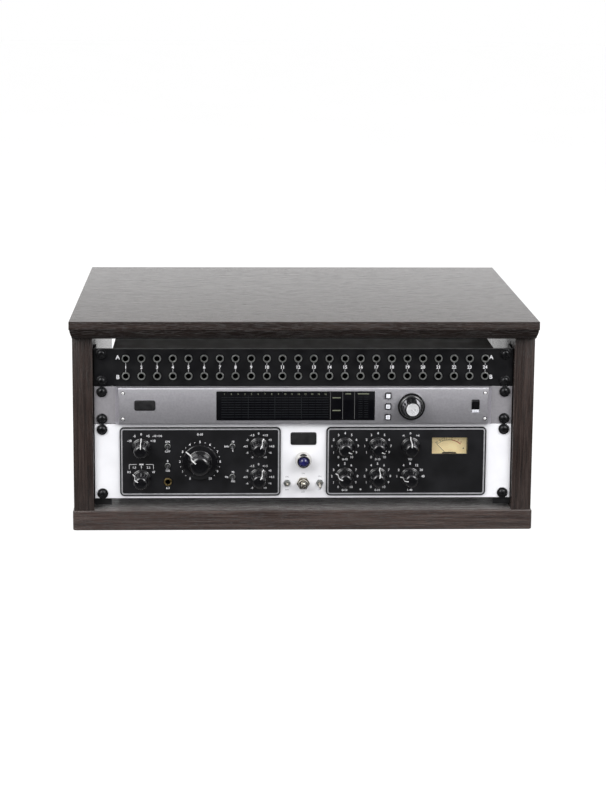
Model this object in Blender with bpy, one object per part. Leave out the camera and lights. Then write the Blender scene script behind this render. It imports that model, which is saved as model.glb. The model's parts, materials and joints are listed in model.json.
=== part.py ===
"""Desktop studio rack.

A dark laminate cabinet, four rack units high, that carries a 48 point patchbay, an audio
interface and a channel strip of two units. Metres, +Z up, +X to the right of someone facing
the panels, and the front towards -Y. The origin is the middle of the bottom board's underside.
"""

import math

import bmesh
import bpy

# Clearances
fit_gap = 0.0003            # between pieces that lie on or against each other
running_gap = 0.0004        # round a shaft, lever or button that moves

# Cabinet boards
side_thickness = 0.0230
side_depth = 0.3850
panel_side_gap = 0.0012     # from the end of a rack panel to the side board
stack_lift = 0.0132         # clear height below the lowest panel
head_room = 0.0136          # clear height above the highest panel
base_thickness = 0.0233
base_side_proud = 0.0015
base_front_proud = 0.0020
base_edge_round = 0.0015
base_corner = 0.0050        # round front corners, seen from above
top_thickness = 0.0210
top_side_overhang = 0.0025
top_front_overhang = 0.0150
top_edge_round = 0.0090     # the bullnose under the front and side edges
top_edge_ease = 0.0010
dowel_radius = 0.0040
dowel_length = 0.0100
dowel_inset = 0.0600        # from the front and rear edges of a side board

# Rack standard
rack_unit = 0.04445
panel_width = 0.4826
panel_short = 0.0008        # a panel is this much lower than the units it fills
panel_thickness = 0.0030
panel_recess = 0.0060       # behind the front edges of the side boards
hole_inset = 0.00875        # from a panel's end to its column of holes
hole_edge = 0.00635         # from a unit's edge to its outer holes
panel_hole_radius = 0.0034

# Rack rails, steel angles
rail_thickness = 0.0020
rail_land = 0.0101          # from the holes to the flange's inner edge
rail_depth = 0.0300
rail_hole_radius = 0.0031
rail_foot = 0.0080          # how far a rail runs on below the units
rail_top_drop = 0.0010

# Rack screws
screw_shank_radius = 0.0028
screw_washer_height = 0.0012
screw_head_radius = 0.0050
screw_head_height = 0.0026
screw_reach = 0.0120        # how far the shank reaches behind the panel's face

# Chassis boxes behind the panels
chassis_rail_gap = 0.0024   # between a chassis and the rails' inner edges
chassis_panel_step = 0.0015  # a chassis is this much lower than its panel, at each edge
chassis_wall = 0.0012
patchbay_chassis_depth = 0.1000
interface_chassis_depth = 0.2200
strip_chassis_depth = 0.2300

# Power inlets in the rear walls of the interface and the strip
inlet_width = 0.0220
inlet_height = 0.0150
inlet_depth = 0.0130
inlet_wall = 0.0020
inlet_from_side = 0.0400

# Patchbay jacks
jack_columns = 24
jack_from_holes = 0.02555   # from a column of rack holes to the outermost jacks, on average
jack_row_height = 0.0205    # between the two rows
jack_shift = 0.0022         # the rows' middle, right of the panel's middle
jack_barrel_radius = 0.0047
jack_bore_radius = 0.0033
jack_proud = 0.0015
jack_bore_depth = 0.0300
jack_floor = 0.0048         # of a jack's body, behind its bore
jack_block_gap = 0.0010     # from the block of jacks to the chassis walls

# Audio interface panel
ear_width = 0.0240          # from the panel's end to the raised middle, at the ears' level
face_proud = 0.0060
face_shoulder = 0.0130      # height of the rounded upper part
face_lip = 0.0020           # height of the rounded lower edge
face_side_slope = 0.85      # how far the sides lean in, per length raised
face_edge_rise = 0.0006     # how far the raised middle stands out at its very edges
face_edge_inset = 0.0002    # from the panel's upper and lower edges to the raised middle
face_wall = 0.0025
pocket_margin = 0.0004      # of the pocket behind the face, beside the power rocker's opening
display_x = -0.0095
display_width = 0.1829
display_height = 0.0343
display_recess = 0.0015
display_thickness = 0.0020
button_x = 0.0971
button_size = 0.0064
button_top_inset = 0.0098   # from the panel's upper edge to the middle of the highest button
button_bottom_inset = 0.0088
button_count = 3
button_proud = 0.0012
button_travel = 0.0010
button_flange = 0.0010      # how far the flange stands out round the button, and its thickness
button_stem_radius = 0.0012
level_x = 0.1238
level_radius = 0.0160
level_cap_radius = 0.0078
level_height = 0.0200
rocker_from_end = 0.0429    # from the panel's end
rocker_width = 0.0086
rocker_radius = 0.0070
rocker_pivot_depth = 0.0032  # of the rocker's pivot, behind the face
rocker_ridge = 0.0042
rocker_swing = 8.0          # degrees to either side of level
interface_board_depth = 0.0100

# Sides of round pieces
screw_sides = 8
shaft_sides = 8
knob_sides = 12

# Shafts and potentiometers
shaft_radius = 0.0030
pot_radius = 0.0080
pot_length = 0.0080
pot_floor = 0.0010
board_thickness = 0.0016
board_margin = 0.0030       # from a control board's edge to the chassis wall
post_radius = 0.0025
post_inset = 0.0060

# Channel strip
plate_from_end = 0.02895    # from the panel's end to its black plate
plate_gap = 0.0527          # between the two black plates
plate_edge = 0.0032         # from the panel's upper and lower edges to the plates
plate_corner = 0.0050
plate_thickness = 0.0020
strip_board_depth = 0.0160
knob_skirt_radius = 0.0114
knob_body_radius = 0.0086
knob_cap_radius = 0.0080
large_skirt_radius = 0.0205
large_body_radius = 0.0132
large_cap_radius = 0.0124
knob_height = 0.0230
knob_skirt_height = 0.0035
knob_clear = 0.0008         # between a knob and the plate
pointer_width = 0.0012
pointer_rise = 0.0003
pointer_reach = 0.65        # where the pointer ends on the cap, as a share of the cap's radius

# Toggle switches
nut_radius = 0.0032
nut_height = 0.0014
bushing_radius = 0.0027
bushing_height = 0.0036
ball_radius = 0.0016
lever_neck = 0.0008
lever_tip = 0.0013
lever_length = 0.0090
lever_tail = 0.0030
lever_tilt = 12.0           # degrees to either side of square
power_lever_tilt = 17.0
panel_toggle_scale = 1.2    # the two small toggles on the pale panel, against those on the plate
power_toggle_scale = 2.2    # the mains toggle, in the panel's middle, with its lever up
power_toggle_z = -0.0263

# Lamp, instrument jack and meter
lamp_z = 0.0015
lamp_bezel_radius = 0.0096
lamp_lens_radius = 0.0059
lamp_height = 0.0150
lamp_body_radius = 0.0060
lamp_reach = 0.0110
instrument_x = -0.0376      # from the middle of the left plate
instrument_z = -0.0238
instrument_ring_radius = 0.0046
instrument_body_radius = 0.0070
meter_x = 0.0506            # from the middle of the right plate
meter_z = 0.0184
meter_view_width = 0.0414
meter_view_height = 0.0195
meter_frame = 0.0013        # how far the meter's case runs on behind the plate
meter_foot = 0.0070         # and below its window, where the needle's pivot is
meter_wall = 0.0012
meter_case_depth = 0.0180
meter_glass = 0.0010
dial_depth = 0.0060
dial_thickness = 0.0008
needle_length = 0.0235
needle_width = 0.0006
needle_thickness = 0.0008
needle_hub_radius = 0.0014
needle_pivot_rise = 0.0024  # of the pivot, above the case's floor
needle_rest = -44.0         # degrees clockwise from upright
transformer_radius = 0.0380
transformer_bore = 0.0080
transformer_height = 0.0340
transformer_from_side = 0.0700  # of its axis, from the chassis's right side
transformer_depth = 0.1350      # of its axis, behind the panel's face

# Knobs of the strip: place beside the middle of their plate and above the panel's middle, and
# the pointer's angle, clockwise from upright in degrees
left_knobs = {
    "gain_knob": (-0.0682, 0.0170, 0.0),
    "input_select_knob": (-0.0682, -0.0200, -60.0),
    "level_knob": (-0.0004, 0.0000, -52.0),
    "high_eq_knob": (0.0674, 0.0181, 30.0),
    "low_eq_knob": (0.0674, -0.0185, 30.0),
}
right_knobs = {
    "attack_knob": (-0.0712, 0.0182, 119.0),
    "release_knob": (-0.0331, 0.0182, 119.0),
    "meter_select_knob": (0.0046, 0.0182, 0.0),
    "compressor_input_knob": (-0.0712, -0.0177, -70.0),
    "compressor_output_knob": (-0.0331, -0.0178, 13.0),
    "ratio_knob": (0.0047, -0.0180, -90.0),
}
large_knobs = ("level_knob",)

# Small toggles of the strip: place, beside the middle of the left plate or of the panel, and
# the lever's tilt, where 1 is down, -1 is up and 0 square
left_plate_toggles = {
    "phantom_toggle": (-0.0378, 0.0184, 1),
    "polarity_toggle": (-0.0378, -0.0045, 1),
    "high_frequency_toggle": (0.0370, 0.0185, 0),
    "low_frequency_toggle": (0.0370, -0.0179, 0),
}
panel_toggles = {
    "left_mode_toggle": (-0.0188, -0.0262, -1),
    "right_mode_toggle": (0.0192, -0.0259, 1),
}

# Places that follow from the sizes above
bay_width = panel_width + 2 * panel_side_gap
units = 4
side_height = stack_lift + units * rack_unit - panel_short + head_room
base_depth = side_depth + base_front_proud
base_front = -base_depth / 2
cabinet_rear = base_depth / 2
side_front = base_front + base_front_proud
side_bottom = base_thickness + fit_gap
side_top = side_bottom + side_height
top_bottom = side_top + fit_gap
side_x = bay_width / 2 + side_thickness / 2
base_half_width = bay_width / 2 + side_thickness + base_side_proud
top_half_width = bay_width / 2 + side_thickness + top_side_overhang
dowel_rows = (side_front + dowel_inset, 0.0, cabinet_rear - dowel_inset)

face = side_front + panel_recess            # the ears' front, the level of every rack panel
panel_back = face + panel_thickness
behind_panel = panel_back + fit_gap
stack_bottom = base_thickness + stack_lift - panel_short / 2
strip_z = stack_bottom + rack_unit
interface_z = stack_bottom + 2.5 * rack_unit
patchbay_z = stack_bottom + 3.5 * rack_unit
low_panel = rack_unit - panel_short
high_panel = 2 * rack_unit - panel_short
hole_spacing = panel_width - 2 * hole_inset
hole_pitch = (rack_unit - 2 * hole_edge) / 2
screw_washer_radius = hole_edge - fit_gap / 2   # washers of neighbouring panels just clear
rail_inner = hole_spacing / 2 - rail_land
rail_outer = bay_width / 2 - fit_gap
chassis_half_width = rail_inner - chassis_rail_gap
transformer_x = chassis_half_width - transformer_from_side
low_chassis_room = low_panel / 2 - chassis_panel_step - chassis_wall    # half its clear height
high_chassis_room = high_panel / 2 - chassis_panel_step - chassis_wall
jack_span = hole_spacing - 2 * jack_from_holes
jack_pitch = jack_span / (jack_columns - 1)
jack_hole_radius = jack_barrel_radius + running_gap
jack_tip = face - jack_proud
jack_block_back = jack_tip + jack_bore_depth + jack_floor
shaft_hole_radius = shaft_radius + running_gap
plate_width = panel_width / 2 - plate_from_end - plate_gap / 2
plate_height = high_panel - 2 * plate_edge
plate_x = (plate_gap + plate_width) / 2
plate_back = face - fit_gap
plate_front = plate_back - plate_thickness
instrument_place = instrument_x - plate_x
instrument_tip = plate_front - jack_proud
meter_place = meter_x + plate_x
meter_case_width = meter_view_width + 2 * meter_frame
meter_case_height = meter_view_height + 2 * meter_frame + meter_foot
meter_case_z = strip_z + meter_z - meter_foot / 2
plate_toggles = {name: (x - plate_x, z, tilt) for name, (x, z, tilt) in left_plate_toggles.items()}
knobs = {name: (side * plate_x + x, z, angle)
         for side, group in ((-1, left_knobs), (1, right_knobs))
         for name, (x, z, angle) in group.items()}
belly = face - face_proud                   # the interface's raised face
face_half_width = panel_width / 2 - ear_width
rocker_x = panel_width / 2 - rocker_from_end
pocket_half_width = rocker_x + rocker_width / 2 + running_gap + pocket_margin
button_highest = low_panel / 2 - button_top_inset
button_pitch = (low_panel - button_top_inset - button_bottom_inset) / (button_count - 1)
button_rows = [button_highest - row * button_pitch for row in range(button_count)]
button_room = button_size / 2 + button_flange + 2 * running_gap
pocket_high = max(button_rows) + button_room    # of the pocket behind the raised face
pocket_low = button_room - min(button_rows)
board_half_width = chassis_half_width - chassis_wall - board_margin


def material(name, colour, roughness, metallic=0.0):
    """A Principled material of one plain finish."""
    made = bpy.data.materials.get(name) or bpy.data.materials.new(name)
    made.use_nodes = True
    shader = made.node_tree.nodes["Principled BSDF"]
    shader.inputs["Base Color"].default_value = (*colour, 1.0)
    shader.inputs["Roughness"].default_value = roughness
    shader.inputs["Metallic"].default_value = metallic
    made.diffuse_color = (*colour, 1.0)
    return made


def make_object(name, mesh, finish, location=(0, 0, 0), rotation=(0, 0, 0)):
    """An object with its material, smooth where it is round."""
    if finish is not None and finish.name not in mesh.materials:
        mesh.materials.append(finish)
    made = bpy.data.objects.new(name, mesh)
    bpy.context.scene.collection.objects.link(made)
    made.location = location
    made.rotation_euler = rotation
    return made


def mesh_from(bm, name, smooth_angle=35.0):
    """A mesh with its faces turned outwards and its round faces smooth."""
    bmesh.ops.recalc_face_normals(bm, faces=bm.faces[:])
    mesh = bpy.data.meshes.new(name)
    bm.to_mesh(mesh)
    bm.free()
    mesh.shade_smooth()
    mesh.set_sharp_from_angle(angle=math.radians(smooth_angle))
    return mesh


def round_loop(x, z, radius, sides=12):
    """Corners of a regular polygon, with a flat side at the top."""
    turn = math.pi / sides
    return [
        (x + radius * math.sin(2 * math.pi * i / sides + turn),
         z + radius * math.cos(2 * math.pi * i / sides + turn))
        for i in range(sides)
    ]


def bore_loop(x, z, radius, sides=12):
    """Corners of a regular polygon whose flat sides lie at the radius, for a hole."""
    return round_loop(x, z, radius / math.cos(math.pi / sides), sides)


def box_loop(x, z, width, height):
    """Corners of a rectangle about its middle."""
    return [
        (x - width / 2, z - height / 2), (x + width / 2, z - height / 2),
        (x + width / 2, z + height / 2), (x - width / 2, z + height / 2),
    ]


def rounded_loop(x, z, width, height, corner, steps=4):
    """Outline of a rectangle with round corners."""
    points = []
    for quarter, (sx, sz) in enumerate(((1, 1), (-1, 1), (-1, -1), (1, -1))):
        for step in range(steps + 1):
            angle = math.pi / 2 * (quarter + step / steps)
            points.append((x + sx * (width / 2 - corner) + corner * math.cos(angle),
                           z + sz * (height / 2 - corner) + corner * math.sin(angle)))
    return points


class Moulding:
    """A closed body built of outlines at depths along +Y, or along +Z when it lies flat."""

    def __init__(self, flat=False):
        self.bm = bmesh.new()
        self.flat = flat

    def ring(self, loop, depth):
        if self.flat:
            return [self.bm.verts.new((u, v, depth)) for u, v in loop]
        return [self.bm.verts.new((u, depth, v)) for u, v in loop]

    def wall(self, first, second):
        count = len(first)
        for i in range(count):
            j = (i + 1) % count
            self.bm.faces.new((first[i], first[j], second[j], second[i]))

    def cover(self, outer, holes):
        if not holes:
            self.bm.faces.new(outer)
            return
        edges = []
        for loop in [outer, *holes]:
            for i, vertex in enumerate(loop):
                after = loop[(i + 1) % len(loop)]
                edges.append(self.bm.edges.get((vertex, after)) or self.bm.edges.new((vertex, after)))
        bmesh.ops.triangle_fill(self.bm, edges=edges, use_beauty=True)

    def feature(self, steps, floor=()):
        """Walls through each (loop, depth) in turn. Returns the first and the last ring. A
        floor closes the last ring, round what stands on it."""
        rings = [self.ring(loop, depth) for loop, depth in steps]
        for first, second in zip(rings, rings[1:]):
            self.wall(first, second)
        if floor is not None:
            self.cover(rings[-1], [self.feature(*inner)[0] for inner in floor])
        return rings[0], rings[-1]

    def body(self, outline, front, back, front_features=(), back_features=(), through=()):
        """An extruded outline with features on both faces and holes from face to face."""
        outer_front = self.ring(outline, front)
        outer_back = self.ring(outline, back)
        self.wall(outer_front, outer_back)
        passed = [self.feature(steps, None) for steps in through]
        front_holes = [self.feature(*one)[0] for one in front_features]
        back_holes = [self.feature(*one)[0] for one in back_features]
        self.cover(outer_front, front_holes + [ends[0] for ends in passed])
        self.cover(outer_back, back_holes + [ends[1] for ends in passed])
        return self

    def made(self, name, finish):
        return make_object(name, mesh_from(self.bm, name), finish)


def hole(x, z, radius, front, back, sides=12):
    """Steps of a round hole from the front face to the back face."""
    loop = bore_loop(x, z, radius, sides)
    return [(loop, front), (loop, back)]


def rectangular_hole(x, z, width, height, front, back):
    loop = box_loop(x, z, width, height)
    return [(loop, front), (loop, back)]


def turned_mesh(name, profile, sides):
    """A body turned about the Y axis. The profile holds (radius, depth) pairs."""
    bm = bmesh.new()
    rings = []
    for radius, depth in profile:
        if radius == 0:
            rings.append([bm.verts.new((0, depth, 0))])
        else:
            rings.append([bm.verts.new((u, depth, v)) for u, v in round_loop(0, 0, radius, sides)])
    for first, second in zip(rings, rings[1:]):
        for i in range(sides):
            j = (i + 1) % sides
            corners = [first[i % len(first)], first[j % len(first)],
                       second[j % len(second)], second[i % len(second)]]
            bm.faces.new(list(dict.fromkeys(corners)))
    return mesh_from(bm, name)


def cutter(name, mesh):
    """A helper that shapes another body and isn't one itself."""
    made = make_object(name, mesh, None)
    made.hide_render = True
    made.display_type = "WIRE"
    return made


def combine(target, tool, operation):
    change = target.modifiers.new(tool.name, "BOOLEAN")
    change.operation = operation
    change.solver = "EXACT"
    change.object = tool


def frozen(target):
    """The mesh of an object with its modifiers applied."""
    graph = bpy.context.evaluated_depsgraph_get()
    return bpy.data.meshes.new_from_object(target.evaluated_get(graph))


def dowel_loops(outline, radius):
    """Outlines of the dowels or of their holes, for both side boards."""
    return {side: [outline(side * side_x, row, radius, 8) for row in dowel_rows]
            for side in (-1, 1)}


def board_cutter(name, loops, low, high):
    """Round plugs that stand upright, as one cutter."""
    plugs = Moulding(flat=True)
    for loop in loops:
        lower = plugs.ring(loop, low)
        upper = plugs.ring(loop, high)
        plugs.wall(lower, upper)
        plugs.cover(lower, [])
        plugs.cover(upper, [])
    return cutter(name, mesh_from(plugs.bm, name))


def cabinet():
    """Bottom board, two side boards with their dowels, and the top board."""
    wood = material("dark_laminate", (0.070, 0.052, 0.045), 0.45)
    dowels = dowel_loops(round_loop, dowel_radius)
    holes = dowel_loops(bore_loop, dowel_radius + fit_gap)
    every_hole = holes[-1] + holes[1]

    base = Moulding(flat=True)
    outline = [(base_half_width, cabinet_rear), (-base_half_width, cabinet_rear)]
    for side in (-1, 1):
        corner = [(side * (base_half_width - base_corner * (1 - math.cos(turn))),
                   base_front + base_corner * (1 - math.sin(turn)))
                  for turn in (math.pi / 2 * step / 4 for step in range(5))]
        outline += corner if side < 0 else corner[::-1]
    base.body(outline, 0, base_thickness)
    rim = [edge for edge in base.bm.edges if len({round(v.co.z, 6) for v in edge.verts}) == 1]
    bmesh.ops.bevel(base.bm, geom=rim, offset=base_edge_round, segments=2, profile=0.5,
                    affect="EDGES")
    board = base.made("bottom_board", wood)
    depth = dowel_length + fit_gap
    combine(board, board_cutter("bottom_dowel_holes", every_hole, side_bottom - depth,
                                base_thickness + fit_gap), "DIFFERENCE")

    for side, name in ((-1, "left_side_board"), (1, "right_side_board")):
        half = side_thickness / 2
        outline = [(side * side_x - half, side_front), (side * side_x + half, side_front),
                   (side * side_x + half, cabinet_rear), (side * side_x - half, cabinet_rear)]
        low = [([(loop, side_bottom), (loop, side_bottom - dowel_length)],) for loop in dowels[side]]
        high = [([(loop, side_top), (loop, side_top + dowel_length)],) for loop in dowels[side]]
        Moulding(flat=True).body(outline, side_bottom, side_top, low, high).made(name, wood)

    lid = Moulding(flat=True)
    lid_front = side_front - top_front_overhang
    outline = [(-top_half_width, lid_front), (top_half_width, lid_front),
               (top_half_width, cabinet_rear), (-top_half_width, cabinet_rear)]
    lid.body(outline, top_bottom, top_bottom + top_thickness)
    lid.bm.edges.ensure_lookup_table()

    def rim_edges(level):
        found = []
        for edge in lid.bm.edges:
            on_level = all(abs(v.co.z - level) < 1e-6 for v in edge.verts)
            on_rear = all(abs(v.co.y - cabinet_rear) < 1e-6 for v in edge.verts)
            if on_level and not on_rear:
                found.append(edge)
        return found

    bmesh.ops.bevel(lid.bm, geom=rim_edges(top_bottom), offset=top_edge_round, segments=4,
                    profile=0.5, affect="EDGES")
    bmesh.ops.bevel(lid.bm, geom=rim_edges(top_bottom + top_thickness), offset=top_edge_ease,
                    segments=1, profile=0.5, affect="EDGES")
    board = lid.made("top_board", wood)
    combine(board, board_cutter("top_dowel_holes", every_hole, top_bottom - fit_gap,
                                side_top + depth), "DIFFERENCE")


def rack_rails():
    """Two steel angles, with three holes in each rack unit."""
    steel = material("black_steel", (0.030, 0.030, 0.032), 0.45, 0.6)
    low = stack_bottom - rail_foot
    high = stack_bottom + units * rack_unit - panel_short / 2 - rail_top_drop
    levels = [stack_bottom + unit * rack_unit + hole_edge + row * hole_pitch
              for unit in range(units) for row in range(3)]
    for side, name in ((-1, "left_rack_rail"), (1, "right_rack_rail")):
        outline = [
            (side * rail_outer, behind_panel),
            (side * rail_inner, behind_panel),
            (side * rail_inner, behind_panel + rail_thickness),
            (side * (rail_outer - rail_thickness), behind_panel + rail_thickness),
            (side * (rail_outer - rail_thickness), behind_panel + rail_depth),
            (side * rail_outer, behind_panel + rail_depth),
        ]
        rail = Moulding(flat=True).body(outline, low, high).made(name, steel)
        drills = Moulding()
        for level in levels:
            loop = bore_loop(side * hole_spacing / 2, level, rail_hole_radius, screw_sides)
            near = drills.ring(loop, behind_panel - rail_thickness)
            far = drills.ring(loop, behind_panel + 2 * rail_thickness)
            drills.wall(near, far)
            drills.cover(near, [])
            drills.cover(far, [])
        combine(rail, cutter(name + "_drills", mesh_from(drills.bm, name + "_drills")), "DIFFERENCE")


def screw_levels(middle, height_in_units):
    """Heights of a panel's lower and upper screws."""
    low = middle - height_in_units * rack_unit / 2
    return (low + hole_edge, low + height_in_units * rack_unit - hole_edge)


def ear_holes(middle, height_in_units):
    """The four mounting holes of a panel, right through it."""
    return [hole(side * hole_spacing / 2, level, panel_hole_radius, face, panel_back, screw_sides)
            for side in (-1, 1) for level in screw_levels(middle, height_in_units)]


def rack_screws():
    """Four domed screws with washers for each panel, all of one shape."""
    black = material("black_zinc", (0.020, 0.020, 0.022), 0.30, 0.7)
    head_back = -fit_gap
    crown = head_back - screw_washer_height
    profile = [
        (0, crown - screw_head_height),
        (screw_head_radius * 0.60, crown - screw_head_height * 0.86),
        (screw_head_radius, crown - screw_head_height * 0.20),
        (screw_washer_radius, crown),
        (screw_washer_radius, head_back),
        (screw_shank_radius, head_back),
        (screw_shank_radius, screw_reach),
        (0, screw_reach),
    ]
    shape = turned_mesh("rack_screw", profile, screw_sides)
    for unit, middle, height in (("patchbay", patchbay_z, 1), ("interface", interface_z, 1),
                                 ("strip", strip_z, 2)):
        for level, height_name in zip(screw_levels(middle, height), ("lower", "upper")):
            for side, side_name in ((-1, "left"), (1, "right")):
                make_object(f"{unit}_screw_{side_name}_{height_name}", shape, black,
                            (side * hole_spacing / 2, face, level))


def chassis_box(name, middle, panel_height, depth, finish, with_inlet):
    """A sheet metal box, open at the front where the panel closes it. A power inlet stands in
    its rear wall, with its well open to the rear."""
    height = panel_height - 2 * chassis_panel_step
    rear = behind_panel + depth
    inner = box_loop(0, middle, 2 * (chassis_half_width - chassis_wall), height - 2 * chassis_wall)
    floor = []
    back = []
    if with_inlet:
        x = -(chassis_half_width - inlet_from_side)
        shell = box_loop(x, middle, inlet_width + 2 * inlet_wall, inlet_height + 2 * inlet_wall)
        well = box_loop(x, middle, inlet_width, inlet_height)
        floor.append(([(shell, rear - chassis_wall),
                       (shell, rear - inlet_depth - inlet_wall)],))
        back.append(([(well, rear), (well, rear - inlet_depth)],))
    cavity = ([(inner, behind_panel), (inner, rear - chassis_wall)], floor)
    box = Moulding()
    box.body(box_loop(0, middle, 2 * chassis_half_width, height), behind_panel, rear,
             front_features=[cavity], back_features=back)
    return box.made(name, finish)


def patchbay():
    """Black panel, its chassis, and the moulded bank of 48 jacks."""
    black = material("black_powder_coat", (0.022, 0.023, 0.026), 0.50, 0.2)
    chassis_black = material("chassis_black", (0.035, 0.036, 0.038), 0.55, 0.3)
    jack_finish = material("jack_grey", (0.30, 0.31, 0.30), 0.35, 0.4)
    places = [(jack_shift - jack_span / 2 + column * jack_pitch, patchbay_z + row * jack_row_height / 2)
              for row in (1, -1) for column in range(jack_columns)]
    holes = [hole(x, z, jack_hole_radius, face, panel_back, 8) for x, z in places]
    holes += ear_holes(patchbay_z, 1)
    panel = Moulding().body(box_loop(0, patchbay_z, panel_width, low_panel), face, panel_back,
                            through=holes)
    panel.made("patchbay_panel", black)

    barrels = []
    for x, z in places:
        outside = round_loop(x, z, jack_barrel_radius, 8)
        bore = bore_loop(x, z, jack_bore_radius, 8)
        barrels.append(([(outside, behind_panel), (outside, jack_tip), (bore, jack_tip),
                         (bore, jack_tip + jack_bore_depth)],))
    block = box_loop(0, patchbay_z, 2 * (chassis_half_width - chassis_wall - jack_block_gap),
                     2 * (low_chassis_room - jack_block_gap))
    bank = Moulding().body(block, behind_panel, jack_block_back, barrels)
    bank.made("jack_bank", jack_finish)
    chassis_box("patchbay_chassis", patchbay_z, low_panel, patchbay_chassis_depth,
                chassis_black, False)


def face_rise(height):
    """How far the interface's face stands out at a height above the panel's middle."""
    shoulder_start = low_panel / 2 - face_shoulder
    lip_start = -low_panel / 2 + face_lip
    rise = face_proud
    if height > shoulder_start:
        part = min((height - shoulder_start) / face_shoulder, 1.0)
        rise = face_proud * math.sqrt(1 - part * part)
    elif height < lip_start:
        part = min((lip_start - height) / face_lip, 1.0)
        rise = face_proud - face_lip * (1 - math.sqrt(1 - part * part))
    return max(rise, face_edge_rise)


def interface_face_mesh():
    """The raised middle of the interface's panel, round at its top and drawn in at its sides."""
    half = low_panel / 2 - face_edge_inset
    start = low_panel / 2 - face_shoulder
    levels = [-half, -half + face_lip * 0.35, -half + face_lip, start]
    levels += [start + (half - start) * part for part in (0.3, 0.55, 0.75, 0.9, 1.0)]
    bm = bmesh.new()
    sections = []
    for level in levels:
        rise = face_rise(level)
        edge = face_half_width - face_side_slope * rise
        z = interface_z + level
        sections.append([bm.verts.new(point) for point in (
            (-face_half_width, face + panel_thickness / 2, z), (-face_half_width, face, z),
            (-edge, face - rise, z), (edge, face - rise, z),
            (face_half_width, face, z), (face_half_width, face + panel_thickness / 2, z))])
    for lower, upper in zip(sections, sections[1:]):
        for i in range(6):
            j = (i + 1) % 6
            bm.faces.new((lower[i], lower[j], upper[j], upper[i]))
    bm.faces.new(sections[0])
    bm.faces.new(sections[-1])
    return mesh_from(bm, "interface_face")


def plug(name, loops, front, back):
    """Separate prisms through the interface's face, as one cutter."""
    made = Moulding()
    for loop in loops:
        near = made.ring(loop, front)
        far = made.ring(loop, back)
        made.wall(near, far)
        made.cover(near, [])
        made.cover(far, [])
    return cutter(name, mesh_from(made.bm, name))


def rocker_mesh():
    """A rocker in its level position about its own pivot: round ends, a ridge in front."""
    ends = [math.radians(angle) for angle in (63, 78, 93, 108)]
    section = [(-rocker_ridge, 0.0)]
    section += [(-rocker_radius * math.cos(a), rocker_radius * math.sin(a)) for a in ends]
    section += [(-rocker_radius * math.cos(a), -rocker_radius * math.sin(a)) for a in reversed(ends)]
    bm = bmesh.new()
    left = [bm.verts.new((-rocker_width / 2, y, z)) for y, z in section]
    right = [bm.verts.new((rocker_width / 2, y, z)) for y, z in section]
    for i in range(len(section)):
        j = (i + 1) % len(section)
        bm.faces.new((left[i], left[j], right[j], right[i]))
    bm.faces.new(left)
    bm.faces.new(right)
    return mesh_from(bm, "rocker", 20)


def interface_panel(silver):
    """Ears and raised middle in one piece, hollow behind, with its openings."""
    slab = Moulding().body(box_loop(0, interface_z, panel_width, low_panel), face, panel_back,
                           through=ear_holes(interface_z, 1))
    panel = slab.made("interface_panel", silver)
    combine(panel, cutter("interface_raised_face", interface_face_mesh()), "UNION")
    deep = panel_back + panel_thickness
    shallow = belly - face_proud
    pocket_z = interface_z + (pocket_high - pocket_low) / 2
    pocket = box_loop(0, pocket_z, 2 * pocket_half_width, pocket_high + pocket_low)
    combine(panel, plug("interface_pocket", [pocket], belly + face_wall, deep), "DIFFERENCE")
    openings = [
        box_loop(display_x, interface_z, display_width, display_height),
        bore_loop(level_x, interface_z, shaft_hole_radius, 12),
        box_loop(rocker_x, interface_z, rocker_width + 2 * running_gap,
                 2 * (rocker_radius + running_gap)),
    ]
    button_hole = button_size + 2 * fit_gap
    openings += [box_loop(button_x, interface_z + z, button_hole, button_hole) for z in button_rows]
    combine(panel, plug("interface_openings", openings, shallow, deep), "DIFFERENCE")


def interface_controls():
    """Three push buttons, the level knob and the power rocker, each about its own axis."""
    button_grey = material("button_white", (0.75, 0.76, 0.80), 0.35)
    flange = button_size + 2 * button_flange
    front = -button_proud
    inside = face_wall + fit_gap
    stem_end = (face + interface_board_depth - belly) - 2 * button_travel - 2 * fit_gap
    cap = box_loop(0, 0, button_size, button_size)
    for number, height in enumerate(button_rows, 1):
        collar = box_loop(0, 0, flange, flange)
        stem = box_loop(0, 0, 2 * button_stem_radius, 2 * button_stem_radius)
        shape = Moulding()
        rings = [shape.ring(loop, depth) for loop, depth in (
            (cap, front), (cap, inside), (collar, inside), (collar, inside + button_flange),
            (stem, inside + button_flange), (stem, stem_end))]
        for first, second in zip(rings, rings[1:]):
            shape.wall(first, second)
        shape.cover(rings[0], [])
        shape.cover(rings[-1], [])
        button = shape.made(f"button_{number}", button_grey)
        button.location = (button_x, belly, interface_z + height)

    black = material("knob_black", (0.015, 0.015, 0.016), 0.25)
    back = -knob_clear
    shaft_end = face + interface_board_depth - belly - pot_floor - running_gap
    profile = [
        (0, back - level_height),
        (level_cap_radius, back - level_height),
        (level_cap_radius * 1.10, back - level_height * 0.93),
        (level_radius * 0.72, back - level_height * 0.30),
        (level_radius, back - level_height * 0.18),
        (level_radius, back),
        (shaft_radius, back),
        (shaft_radius, shaft_end),
        (0, shaft_end),
    ]
    make_object("interface_level_knob", turned_mesh("interface_level_knob", profile, 16), black,
                (level_x, belly, interface_z))

    make_object("interface_power_switch", rocker_mesh(), black,
                (rocker_x, belly + rocker_pivot_depth, interface_z),
                (math.radians(rocker_swing), 0, 0))


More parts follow.
